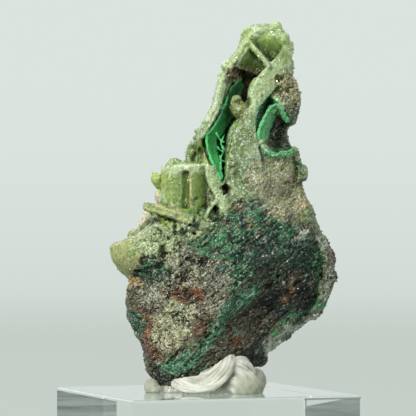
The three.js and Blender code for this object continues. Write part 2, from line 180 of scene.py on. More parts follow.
# Noise over all of a mesh's points at once. Each cell of a grid has its own random numbers.
slopes = np.array([
    *itertools.permutations((-1.0, 1.0, 0.4)), *itertools.permutations((1.0, -0.6, 0.8)),
    (1, 1, 0), (-1, 1, 0), (0, -1, 1), (0, -1, -1),
])


def cellNumber(cells, seed):
    mixed = cells[:, 0] * 73856093 ^ cells[:, 1] * 19349663 ^ cells[:, 2] * 83492791 ^ seed * 2654435761
    mixed = (mixed ^ (mixed >> 13)) * 1274126177 & 0xFFFFFFFF
    mixed = (mixed ^ (mixed >> 15)) * 2246822519 & 0xFFFFFFFF
    return mixed ^ (mixed >> 16)


# Smooth bumps from about -1 to 1, as wide as the size, in millimetres.
def smoothField(points, size, seed=0):
    scaled = points / size + 0.37
    cell = np.floor(scaled).astype(np.int64)
    local = scaled - cell
    fade = local ** 3 * (local * (local * 6 - 15) + 10)
    total = np.zeros(len(points))
    for corner in itertools.product((0, 1), repeat=3):
        slope = slopes[cellNumber(cell + corner, seed) % len(slopes)]
        share = np.prod(np.where(corner, fade, 1 - fade), axis=1)
        total += np.sum((local - corner) * slope, axis=1) * share
    return total


# The nearest of the points strewn one to a cell: how far it is, which it is, and the way to it.
def nearestSeed(points, size, seed=0):
    scaled = points / size
    cell = np.floor(scaled).astype(np.int64)
    best = np.full(len(points), 9.0)
    number = np.zeros(len(points), dtype=np.int64)
    away = np.zeros((len(points), 3))
    for step in itertools.product((-1, 0, 1), repeat=3):
        near = cell + step
        code = cellNumber(near, seed)
        strewn = np.stack([code & 255, code >> 8 & 255, code >> 16 & 255], axis=1) / 255
        gap = scaled - near - 0.15 - 0.7 * strewn
        distance = np.sum(gap * gap, axis=1)
        closer = distance < best
        best = np.where(closer, distance, best)
        number = np.where(closer, code, number)
        away = np.where(closer[:, None], gap, away)
    return np.sqrt(best), number, away


# Rounded beads, from about 0 between them to 1 on top.
def beadField(points, size, seed=0):
    distance = nearestSeed(points, size, seed)[0]
    return 1 - np.minimum(distance, 1.0) ** 2 * 1.5


# Tilted flat grains, from about -1 to 1.
def facetField(points, size, seed=0):
    number, away = nearestSeed(points, size, seed)[1:]
    height = (number >> 3 & 255) / 127.5 - 1
    return 0.5 * height + np.sum(away * slopes[number % len(slopes)], axis=1)


def smoothStep(low, high, values):
    share = np.clip((values - low) / (high - low), 0, 1)
    return share * share * (3 - 2 * share)


# The mean of each point's neighbours, some number of times over.
def neighbourMean(mesh, values, rounds):
    edges = readOut(mesh.edges, "vertices", 2, np.int64)
    count = len(mesh.vertices)
    first = np.concatenate([edges[:, 0], edges[:, 1]])
    second = np.concatenate([edges[:, 1], edges[:, 0]])
    degree = np.maximum(np.bincount(first, minlength=count), 1)
    columns = values.reshape(count, -1)
    for _ in range(rounds):
        sums = [np.bincount(first, columns[second, i], count) for i in range(columns.shape[1])]
        columns = np.stack(sums, axis=1) / degree[:, None]
    return columns.reshape(values.shape)


# Forms that are joined to the stone

# A place on the smooth curve through the points.
def along(points, share):
    place = share * (len(points) - 1)
    i = min(int(place), len(points) - 2)
    t = place - i
    a, b, c, d = (Vector(points[min(max(i + k, 0), len(points) - 1)]) for k in (-1, 0, 1, 2))
    bend = (2 * a - 5 * b + 4 * c - d) * t ** 2 + (3 * b - 3 * c + d - a) * t ** 3
    return 0.5 * (2 * b + (c - a) * t + bend)


def sheet(thick, bulge, near, far):
    return {"thick": thick, "bulge": bulge, "near": near, "far": far}


# Adds a sheet that runs between its near and far edges, bowed out by its bulge.
def addSheet(bm, s, across=10, rows=28):
    grid = bmesh.new()
    bmesh.ops.create_grid(grid, x_segments=across, y_segments=rows, size=0.5)
    for vert in grid.verts:
        u, w = vert.co.x + 0.5, vert.co.y + 0.5
        a, b = along(s["near"], w), along(s["far"], w)
        ahead, behind = (
            along(s["near"], place) + along(s["far"], place)
            for place in (min(w + 0.05, 1), max(w - 0.05, 0))
        )
        normal = (b - a).cross(ahead - behind).normalized()
        vert.co = a.lerp(b, u) + normal * (s["bulge"] * 4 * u * (1 - u))
    bmesh.ops.recalc_face_normals(grid, faces=grid.faces)
    thing = newObject("sheet", meshOf("sheet", grid))
    addModifier(thing, "SOLIDIFY", thickness=s["thick"], offset=0, use_even_offset=False)
    mesh = bakedMesh(thing)
    bpy.data.objects.remove(thing)
    addMesh(bm, mesh)


def addLump(bm, at, size, turn=0.0, subdivisions=3):
    place = Matrix.Translation(at) @ Matrix.Rotation(math.radians(turn), 4, "Y")
    place = place @ Matrix.Diagonal((*size, 1))
    bmesh.ops.create_icosphere(bm, subdivisions=subdivisions, radius=1, matrix=place)


# Adds beads of druse strung along a line, side by side and in front of each other. They are made apart,
# because each operator walks the whole mesh.
def addBeads(bm, count, radius, spread, line, dice):
    beads = bmesh.new()
    for i in range(count):
        middle = along(line, (i + 0.5) / count)
        size = radius * dice.uniform(0.65, 1.25)
        shift = Vector([dice.uniform(-spread, spread) for _ in range(3)])
        shift.y *= 0.4
        addLump(beads, middle + shift, (size,) * 3, subdivisions=2)
    addMesh(bm, meshOf("beads", beads))


# The stone's forms, drawn over the CAD solid: walls, ledges, struts and rims of the boxwork. A sheet has
# its thickness, its bulge, and the (x, y, z) that its near and its far edge run through.
stoneSheets = {
    "strut": sheet(0.8, 0,
        [(8.9, -5.6, 74.3), (10.2, -6, 72.6), (11.7, -6.3, 70.9), (13.4, -6.6, 68.6)],
        [(9.2, -1.4, 74.5), (10.9, -1.6, 73.1), (12.5, -1.8, 71.5), (14.2, -2, 69.2)]),
    "leftRim": sheet(1, 0,
        [(9.2, -5, 75.2), (8.4, -5.8, 73.4), (7.1, -6.3, 71.5), (5.9, -6.6, 69.9), (4.8, -6.8, 68.2)],
        [(8.6, -1.4, 75.2), (7.6, -1.6, 73.5), (6.3, -1.9, 71.7), (5.1, -2.1, 70), (4, -2.4, 68.4)]),
    "leftWall": sheet(1, 0,
        [(3.1, -6, 66.6), (2.4, -6.5, 62.6), (1.4, -7.1, 59.6), (-0.4, -7.6, 56.8), (-1.5, -8.2, 53.8),
         (-0.9, -8.7, 51), (0.2, -9.2, 48.2), (1.7, -9.6, 45.4)],
        [(3.1, -1, 66.4), (2.4, -1, 62.5), (1.4, -1, 59.5), (0, -1, 56.6), (-1.5, -1, 53.8), (-1, -1, 51),
         (0, -1, 48.2), (1.2, -1, 45.4)]),
    "leftFace": sheet(0.6, 0.1,
        [(2.9, -5.6, 65.4), (2.6, -5.9, 63), (1.7, -6.3, 60.6), (0.6, -6.6, 58.6), (-0.6, -6.8, 56.2),
         (-1.9, -6.8, 53.8)],
        [(4.2, -6.6, 65.2), (3.6, -7, 62.4), (2.8, -7.5, 60), (1.9, -7.9, 57.8), (0.2, -8.5, 55.2),
         (-0.8, -8.8, 53.6)]),
    "ridge": sheet(1.3, -0.25,
        [(16.6, -3.2, 74.2), (15.6, -4, 71.8), (13.4, -5, 69.2), (11.4, -6, 67.2), (10, -6.9, 65),
         (9, -7.5, 62), (8, -8, 59.6), (6.8, -8.3, 56.6), (5.6, -8.5, 53), (4.6, -8.6, 49),
         (4.2, -8.6, 45.6)],
        [(18.2, -2.4, 74.2), (18.2, -3, 71.8), (17.6, -3.8, 69.2), (16.4, -4.6, 67), (14.8, -5.8, 64.6),
         (12.6, -7, 62), (11, -7.9, 59.6), (10.4, -8.3, 56.8), (10.6, -8.5, 53), (11.6, -8.4, 49),
         (12, -8.2, 45.6)]),
    "topBack": sheet(0.9, 0,
        [(9.2, -2.6, 76.6), (9.8, -3.6, 75.2), (10.6, -3.3, 73.4), (11.8, -2.8, 71.8), (12.6, -2.2, 70)],
        [(16.6, -2.6, 76.4), (16.8, -3.5, 75), (16.8, -3.2, 73.2), (16.4, -2.8, 71.6), (16, -2.2, 69.8)]),
    "underStrut": sheet(0.9, 0.9,
        [(9.2, -5.2, 74.2), (8.2, -5.9, 72.4), (7, -6.2, 70.6), (6.1, -5.8, 68.8)],
        [(12.2, -2.6, 72), (12.8, -2.4, 70.2), (12.8, -2.2, 68.4), (12, -2, 66.6)]),
    "cellWallLeft": sheet(1, -1.1,
        [(-9, -6.4, 47.8), (-9.1, -6.6, 42.8), (-8.9, -6.8, 39.4), (-8.2, -7, 37)],
        [(-5.2, -8.8, 48), (-5.1, -9, 42.8), (-5.2, -9.2, 39.4), (-4.9, -9.4, 37)]),
    "cellWallMiddle": sheet(0.6, 0.3,
        [(-5.3, -8.9, 48), (-5.2, -9.1, 42.8), (-5.3, -9.3, 39.8), (-5.1, -9.6, 37)],
        [(-3.3, -8.2, 48), (-3.2, -8.3, 42.8), (-3.4, -8.5, 39.8), (-3.6, -8.7, 37)]),
    "cellWallRight": sheet(0.8, -0.9,
        [(-3.5, -9.2, 48.1), (-3.5, -9.4, 42.8), (-3.4, -9.6, 39.8), (-3.2, -9.8, 36.8)],
        [(1.2, -6.6, 48.2), (1.4, -6.2, 42.8), (1.4, -6.2, 39.8), (1, -6.6, 36.6)]),
    "rightStrip": sheet(1, 0,
        [(18.7, -6.6, 51.8), (19.3, -6.6, 49.6), (20, -6.2, 47.2), (19.8, -5.8, 44.4)],
        [(18.4, -2, 51.8), (19.2, -2, 49.6), (20, -2, 47.2), (19.8, -2, 44.4)]),
    "cellRim": sheet(1.2, 0,
        [(-9.4, -5, 47.1), (-7.3, -8.6, 47.4), (-4.6, -9, 47.5), (-1.6, -9.2, 47.7), (0.6, -8.4, 47.8)],
        [(-7.6, -0.6, 47.6), (-5.8, -1.6, 47.9), (-3.8, -2.4, 48.1), (-1.4, -2.6, 48.3),
         (0.8, -2.8, 48.4)]),
    "cellBack": sheet(2.2, 0,
        [(-8.7, -1.8, 47.2), (-8.7, -1.6, 43), (-8.2, -1.2, 37.6)],
        [(-2, -2.8, 47.8), (-2, -2.6, 43), (-2, -2.2, 37.6)]),
    "paleFork": sheet(1.2, -0.3,
        [(-0.2, -9.4, 48.2), (0.1, -9.6, 45), (0.8, -9.8, 43.2), (1.9, -10, 41.6), (2.5, -10.2, 40.4)],
        [(1.9, -8.8, 47.6), (2.7, -8.8, 45), (3.3, -9, 43.2), (4, -9.2, 41.6), (4.3, -9.4, 40.4)]),
    "forkLeftArm": sheet(0.9, 0,
        [(2.9, -10.3, 41), (1.6, -10.5, 40), (0.5, -10.7, 38.6), (-0.3, -10.8, 37)],
        [(3.4, -7.6, 40.6), (2.2, -7.8, 39.6), (1.1, -8, 38.3), (0.4, -8.2, 36.8)]),
    "forkRightArm": sheet(1.1, 0,
        [(2.9, -10.2, 40.6), (4.6, -10.2, 40.7), (6.4, -9.9, 41.4)],
        [(2.9, -7.2, 40.3), (4.7, -7.2, 40.4), (6.5, -7, 41.1)]),
    "ledge": sheet(0.8, 0,
        [(-13, -7, 38.5), (-10.9, -9, 38.1), (-8.1, -10.6, 37.2), (-5.2, -11.4, 36.2), (-3, -11.6, 35.6)],
        [(-12, -6, 39.8), (-9.9, -7.6, 39.6), (-7.2, -9.2, 38.8), (-4.4, -10, 37.8), (-2.2, -10.4, 37)]),
    "ledgePost": sheet(1.3, 0,
        [(-11.9, -7.4, 38.6), (-11, -8.4, 37), (-9.7, -9.6, 35.2), (-8.6, -10.8, 33)],
        [(-9.9, -6.6, 38), (-9, -8, 36.6), (-7.8, -9.4, 34.8), (-6.8, -10.6, 33)]),
    "lipFold": sheet(1.9, 0.9,
        [(-19.6, -4.4, 30.8), (-16.6, -7.8, 31.4), (-13, -10.2, 31.6), (-9.4, -11.4, 31.4)],
        [(-17.6, -3.8, 26.4), (-15.2, -7, 26.6), (-12.4, -9.6, 27.2), (-9.4, -11.2, 27.8)]),
}

# Middle and half sizes.
stoneLumps = [
    (11, -1.8, 76.4, 2.4, 2.6, 1.1), (14.9, -2, 76.6, 1.2, 1.5, 1.2),
    (16.4, -2.8, 74.7, 1.1, 1.6, 1.6), (17.4, -2.8, 69.2, 1.3, 2, 1.6), (17.5, -3.2, 67.7, 1.1, 1.6, 1),
    (4.3, -4.4, 69.1, 1.1, 1.6, 1.1), (3.9, -4.8, 66.9, 1.2, 1.7, 1.4), (16.9, -4.2, 65, 1.5, 2.8, 1.3),
    (18.2, -4, 64, 1.3, 2.6, 1.4), (16.8, -5, 62.6, 1.2, 1.8, 1.3), (18.4, -4, 61.6, 1.4, 2.6, 1.8),
    (16.3, -4.6, 60.4, 1.6, 2.6, 1.3), (17.6, -4.4, 59.2, 1.3, 2.2, 1.4),
    (6.4, -6.8, 60.2, 1.3, 1.5, 1.8), (6.5, -6.9, 61.9, 1.1, 1.4, 0.9),
    (7.6, -7.4, 59.6, 1.4, 1.4, 1.8), (6, -6.6, 60.8, 0.9, 1, 0.9), (7.2, -6.9, 58.8, 1, 1.1, 1),
    (-10.3, -4.8, 45, 1.35, 1.6, 1.3), (-10.8, -4.6, 45.9, 0.7, 0.9, 0.7),
    (-9.7, -4.8, 44, 1, 1.2, 0.8), (-6.9, -5, 48.5, 1, 1.2, 0.8), (-5.9, -5, 48.3, 0.7, 0.9, 0.6),
    (-12.4, -6.2, 39.2, 1, 1.3, 1), (-2.7, -1.6, 50.4, 1.6, 2.4, 2.6),
    (20.7, -4.4, 46.4, 0.9, 1.6, 1.8), (-9.3, 2.8, 41.4, 1.5, 2.4, 2.2), (-8.2, 2.4, 39.2, 2, 2.6, 2.2),
    (-8.4, 2, 43, 1.3, 1.8, 1.3), (-10.2, 2.8, 38, 1.4, 2, 1.7), (-12.4, 2.2, 34.6, 2.2, 2.8, 2),
    (-11, 2.6, 36.4, 1.5, 2.2, 1.5), (-14, 2, 33.4, 1.5, 2, 1.2), (-3.6, -9.6, 35.6, 2.6, 1.9, 1.5),
    (-0.8, -9.6, 35.4, 2.2, 1.8, 1.3), (-9.4, -8.6, 35.4, 1.8, 1.6, 1),
]

# How many, their radius, how far they spread, and the line that they are strung along.
stoneBeads = {
    "cap": (46, 0.36, 0.5, [(8.3, -3.4, 75.2), (8.4, -3.6, 76.6), (10.2, -3.2, 77), (13, -3, 76.9),
        (15.2, -3.2, 76.9), (16.6, -3.6, 75.2), (16.7, -3.8, 73)]),
    "leftRim": (30, 0.34, 0.3, [(9.2, -5.2, 74.8), (7.6, -6, 72.2), (6, -6.5, 70), (4.8, -6.9, 68.4)]),
    "outerLeft": (34, 0.3, 0.4, [(3.2, -6.4, 66), (2.2, -7, 61.4), (0.6, -7.6, 58.4), (-1.2, -8, 55.4)]),
    "shoulder": (36, 0.5, 0.55, [(-1.4, -6.4, 55.2), (-2.6, -5.8, 52.8), (-3.8, -5.4, 50.2),
        (-4, -6.2, 48.6)]),
    "knob": (56, 0.4, 0.8, [(6.1, -7.3, 61), (6.4, -7.6, 60.2), (6.8, -7.8, 59.2), (7.2, -7.8, 58.4)]),
    "ridgeFoot": (60, 0.4, 0.7, [(7.6, -8.4, 57.6), (6.6, -8.6, 55), (6.4, -8.9, 52), (5.4, -9.3, 48.6),
        (4.8, -9.5, 45.6)]),
    "hollowFoot": (40, 0.36, 0.4, [(11.4, -8.4, 53.4), (12.6, -8.5, 51), (15.4, -8.3, 50.2),
        (18.2, -7.8, 50.9)]),
    "cellRim": (70, 0.36, 0.42, [(-9.2, -6.4, 46.9), (-7.4, -8.4, 47), (-4.8, -8.9, 47), (-3.2, -9.1, 47.1),
        (-1.2, -8.7, 47.2), (0.8, -7.4, 47.5)]),
    "underCells": (26, 0.4, 0.45, [(-4.6, -9.8, 37.2), (-2.8, -10.2, 37.4), (-1.2, -10.4, 36.8)]),
    "forkArms": (26, 0.4, 0.4, [(2.6, -10.2, 41), (3.6, -10.2, 40), (4.4, -10.2, 39.4),
        (2.6, -10.2, 37.6)]),
    "belowLedge": (60, 0.38, 0.8, [(-10.8, -8.6, 36.6), (-7.6, -10, 35), (-3.6, -10.6, 35.4),
        (1, -10.4, 36.2)]),
    "lip": (60, 0.4, 0.6, [(-19.7, -4.4, 30.4), (-17.6, -7.2, 31.6), (-14.6, -9.4, 32),
        (-11.6, -10.6, 32.6)]),
    "brownRight": (200, 0.27, 1.3, [(16, -6.2, 66), (18.4, -6, 64), (18.4, -6.2, 61.6), (17, -6.6, 59.2)]),
    "brownLeft": (30, 0.4, 0.8, [(4.4, -5.6, 67.6), (5.8, -4.6, 67.2), (6.6, -3.4, 66.4)]),
    "rightRim": (60, 0.4, 0.6, [(25.1, -5.2, 31), (25.75, -5.2, 28), (25.65, -5.2, 24), (24.6, -5, 20)]),
    "underCrust": (60, 0.45, 0.5, [(23.8, -1, 16.8), (20, -0.8, 14.9), (17, -0.6, 12.4),
        (14.4, -0.4, 9.9)]),
}

# Rooms cut out of the CAD solid before the thinner walls are put in: middle and half sizes.
stoneRooms = [(-4.1, -8.6, 42.8, 4.4, 4.6, 4)]

# Hollows pressed into the front, or swellings: middle (x, z), half sizes and depth.
stoneDents = [
    (4.3, 42.9, 1, 1.4, 3), (2.1, 38.6, 0.8, 1, 2.6), (-10.9, 36.2, 0.6, 0.7, 1.6),
    (-2.4, 33.6, 0.6, 0.5, 1), (-1.2, 50.2, 0.9, 2.2, 1.2), (-8.3, 36.3, 2.4, 1.3, 0.4),
    (15.6, 66.4, 1.4, 0.8, 0.9), (8.8, 61.4, 0.8, 1.3, 2.2), (8.6, 44.6, 1.6, 1, 0.4),
    (-5, 20.8, 3.4, 1.8, 0.8), (1, 14, 2, 3, 0.6), (12, 24, 5.4, 3, 0.7), (-6.6, 27.4, 3.6, 5, -0.7),
    (-7.6, 13.6, 5.2, 5.4, -0.7), (12.6, 16.4, 4.6, 3, -0.8), (19.6, 24, 3.2, 5.6, 0.4),
    (5.4, 31, 3.4, 2.6, -0.7),
]

stoneBuild = {
    "firstVoxel": 0.4,  # the CAD solid, softened before its fine forms are added
    "firstSmoothing": 6,
    "voxel": 0.25,
    "smoothing": 1,
    "seed": 7,
    "triangles": 194000,
}


def cutRooms(stone, rooms):
    bm = bmesh.new()
    for x, y, z, *size in rooms:
        place = Matrix.Translation((x, y, z)) @ Matrix.Diagonal((*size, 1))
        bmesh.ops.create_cube(bm, size=2, matrix=place)
    cutter = newObject("cutter", meshOf("cutter", bm))
    addModifier(stone, "BOOLEAN", operation="DIFFERENCE", solver="MANIFOLD", object=cutter)
    mesh = bakedMesh(stone)
    bpy.data.objects.remove(cutter)
    return mesh


def pressDents(mesh, dents):
    points = pointsOf(mesh)
    wobble = 0.9 * smoothField(points, 1.1, 21) + 0.5 * smoothField(points, 0.6, 22)
    for cx, cz, rx, rz, depth in dents:
        inside = 1 - np.hypot((points[:, 0] - cx) / rx, (points[:, 2] - cz) / rz) + wobble * 0.5
        points[:, 1] += smoothStep(-0.05, 0.75, inside) * smoothStep(-3.0, -5.0, points[:, 1]) * depth
    movePoints(mesh, points)


def stoneShape(s):
    bm = bmesh.new()
    bm.from_mesh(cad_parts["specimen"].data)
    bmesh.ops.remove_doubles(bm, verts=bm.verts, dist=2e-6)
    bmesh.ops.transform(bm, matrix=toSpecimen, verts=bm.verts)
    stone = newObject("stone", meshOf("stone", bm))
    remeshed(stone, s["firstVoxel"], s["firstSmoothing"])
    softened = cutRooms(stone, stoneRooms)
    print("stone softened:", len(softened.vertices), "points")

    bm = bmesh.new()
    bm.from_mesh(softened)
    for form in stoneSheets.values():
        addSheet(bm, form)
    lumps = bmesh.new()
    for x, y, z, *size in stoneLumps:
        addLump(lumps, (x, y, z), size)
    addMesh(bm, meshOf("lumps", lumps))
    dice = random.Random(s["seed"])
    for beads in stoneBeads.values():
        addBeads(bm, *beads, dice)
    joined = newObject("joined", meshOf("joined", bm))
    mesh = remeshed(joined, s["voxel"], s["smoothing"])
    pressDents(mesh, stoneDents)
    bpy.data.objects.remove(stone)
    print("stone joined:", len(mesh.vertices), "points")
    return joined


# The stone's skin. Each mineral has the colour of its crystals, of the gaps between them and of odd
# flecks, and then its traits: the share of flecks, how rough it shines, how craggy, beaded and gritty it
# is in millimetres, and how thickly crystals, grains and fuzz grow on it, from 0 to 1.
traits = ("flecks", "rough", "crag", "bead", "grit", "crystals", "grains", "fuzz", "rock")
minerals = {
    "paleDruse": ((190, 212, 150), (118, 152, 70), (160, 116, 60), (0.08, 0.24, 0.04, 0, 0.02, 0.4)),
    "paleRidge": ((196, 216, 164), (118, 150, 80), (228, 236, 212), (0.08, 0.26, 0.06, 0, 0.04, 0.5)),
    "glassy": ((206, 224, 184), (136, 168, 102), (176, 138, 78), (0.05, 0.16, 0, 0, 0.01, 0.15)),
    "leafDruse": ((138, 166, 98), (68, 100, 38), (222, 232, 202), (0.09, 0.26, 0.05, 0, 0.03, 0.7)),
    "frost": ((186, 210, 170), (98, 138, 84), (230, 236, 224), (0.1, 0.28, 0.08, 0, 0.05, 0.7)),
    "greyDruse": ((182, 200, 138), (92, 114, 48), (236, 240, 226), (0.13, 0.28, 0.18, 0.02, 0.07, 0.9)),
    "lipDruse": ((182, 190, 126), (118, 128, 60), (206, 186, 120), (0.06, 0.3, 0.08, 0, 0.03, 0.3)),
    # Painted shade where it is laid on druse deep behind the front face; it is also strewn in spots near the
    # lip.
    "innerDruse": ((120, 140, 80), (56, 70, 28), (70, 56, 30), (0.08, 0.45, 0.1, 0.12, 0.06, 0.4)),
    "paleFibre": ((236, 249, 222), (168, 196, 144), (160, 168, 116), (0.12, 0.3, 0.3, 0, 0.06, 0.2)),
    "grooveGreen": ((132, 174, 40), (88, 126, 12), (110, 130, 50), (0.04, 0.4, 0, 0, 0.02, 0.02)),
    "tubeGreen": ((180, 200, 112), (116, 142, 50), (206, 220, 150), (0.06, 0.24, 0.05, 0.02, 0.03, 0.15)),
    "orange": ((178, 128, 60), (84, 56, 24), (206, 190, 122), (0.1, 0.42, 0.4, 0, 0.12, 0.2)),
    "cellWall": ((148, 172, 80), (92, 124, 32), (190, 206, 138), (0.07, 0.24, 0.05, 0, 0.02, 0.12)),
    # Painted light: the glow of light through the thin cap.
    "glowGreen": ((160, 190, 92), (108, 142, 52), (196, 216, 140), (0.04, 0.36, 0, 0.03, 0.02, 0.05)),
    # Painted shade, for hollows and the shaded sides of the cell walls.
    "shadeGreen": ((98, 136, 40), (58, 90, 14), (84, 78, 34), (0.04, 0.46, 0, 0, 0.02, 0.02)),
    "knobGreen": ((118, 130, 48), (54, 68, 12), (196, 206, 130), (0.1, 0.26, 0.1, 0.12, 0.08, 0.4)),
    # Painted shade for clefts and hollows; its brown flecks are the clefts' own grains.
    "oliveShade": ((104, 106, 50), (38, 42, 14), (112, 84, 48), (0.12, 0.45, 0.1, 0.16, 0.08, 0.25)),
    "brownDruse": ((162, 162, 104), (36, 38, 12), (112, 54, 28), (0.18, 0.26, 0.2, 0.12, 0.14, 1)),
    "brownDark": ((130, 118, 78), (36, 30, 14), (110, 46, 34), (0.16, 0.3, 0.1, 0.2, 0.14, 0.8)),
    "beige": ((186, 186, 142), (92, 96, 54), (136, 84, 46), (0.1, 0.3, 0.24, 0.02, 0.08, 0.9)),
    "malachite": ((116, 208, 142), (34, 116, 64), (176, 228, 186), (0.08, 0.6, 0.15, 0.1, 0.14, 0, 0, 1)),
    "malachiteDark": ((52, 116, 72), (12, 56, 28), (96, 160, 110), (0.05, 0.6, 0.15, 0.1, 0.1, 0, 0, 0.3)),
    # Painted shade inside the right hollow; it also dims the foot of the brown druse.
    "innerGrey": ((72, 88, 60), (20, 30, 16), (122, 130, 100), (0.08, 0.4, 0.2, 0.16, 0.12, 0.6)),
    "teal": ((54, 136, 86), (3, 30, 16), (150, 182, 148), (0.1, 0.36, 0.7, 0, 0.13, 0.2, 0, 0.03)),
    "tealDark": ((33, 80, 57), (3, 16, 12), (96, 120, 90), (0.08, 0.36, 0.7, 0, 0.13, 0.12, 0, 0.02)),
    "greyBrown": ((166, 166, 140), (46, 46, 30), (146, 96, 52), (0.1, 0.34, 0.5, 0, 0.13, 0.6, 0.3)),
    "rust": ((150, 88, 42), (44, 26, 12), (166, 156, 122), (0.1, 0.42, 0.5, 0, 0.12, 0.15, 0.1)),
    "cream": ((198, 200, 158), (84, 76, 46), (52, 42, 24), (0.1, 0.44, 0.5, 0.02, 0.09, 0.35, 1)),
    "turquoise": ((96, 164, 122), (16, 56, 36), (176, 204, 174), (0.09, 0.36, 0.7, 0, 0.12, 0.15, 0, 0.02)),
    "crust": ((90, 104, 74), (26, 36, 22), (170, 178, 152), (0.12, 0.36, 0.3, 0, 0.1, 0.4)),
    "paleCrust": ((212, 222, 206), (130, 146, 120), (234, 240, 230), (0.1, 0.4, 0.2, 0.05, 0.08, 0.5)),
    "ochre": ((206, 190, 122), (128, 108, 50), (182, 108, 38), (0.14, 0.46, 0.3, 0.04, 0.08, 0.5)),
    "ivory": ((228, 222, 200), (182, 172, 140), (206, 170, 120), (0.06, 0.5, 0.5, 0.2, 0.1, 0.4)),
    "dark": ((110, 106, 80), (20, 20, 13), (164, 110, 54), (0.07, 0.34, 0.75, 0, 0.14, 0.08, 0.02)),
    # Black rock below, and also painted shade in the holes and the right hollow.
    "black": ((44, 50, 40), (6, 8, 6), (90, 92, 74), (0.06, 0.36, 0.75, 0, 0.14, 0.03)),
}


# A round patch has its middle and half sizes (x, z), and a streak its half width and the points that it
# runs along. "behind" keeps a patch to what lies deeper than that y. "edge" is how soft it is, "ragged"
# how uneven, and "amount" how much of it there is.
def spot(of, x, z, halfWide, halfHigh, **more):
    return {"of": of, "at": (x, z), "size": (halfWide, halfHigh), **more}


def streak(of, halfWide, *line, **more):
    return {"of": of, "width": halfWide, "line": line, **more}


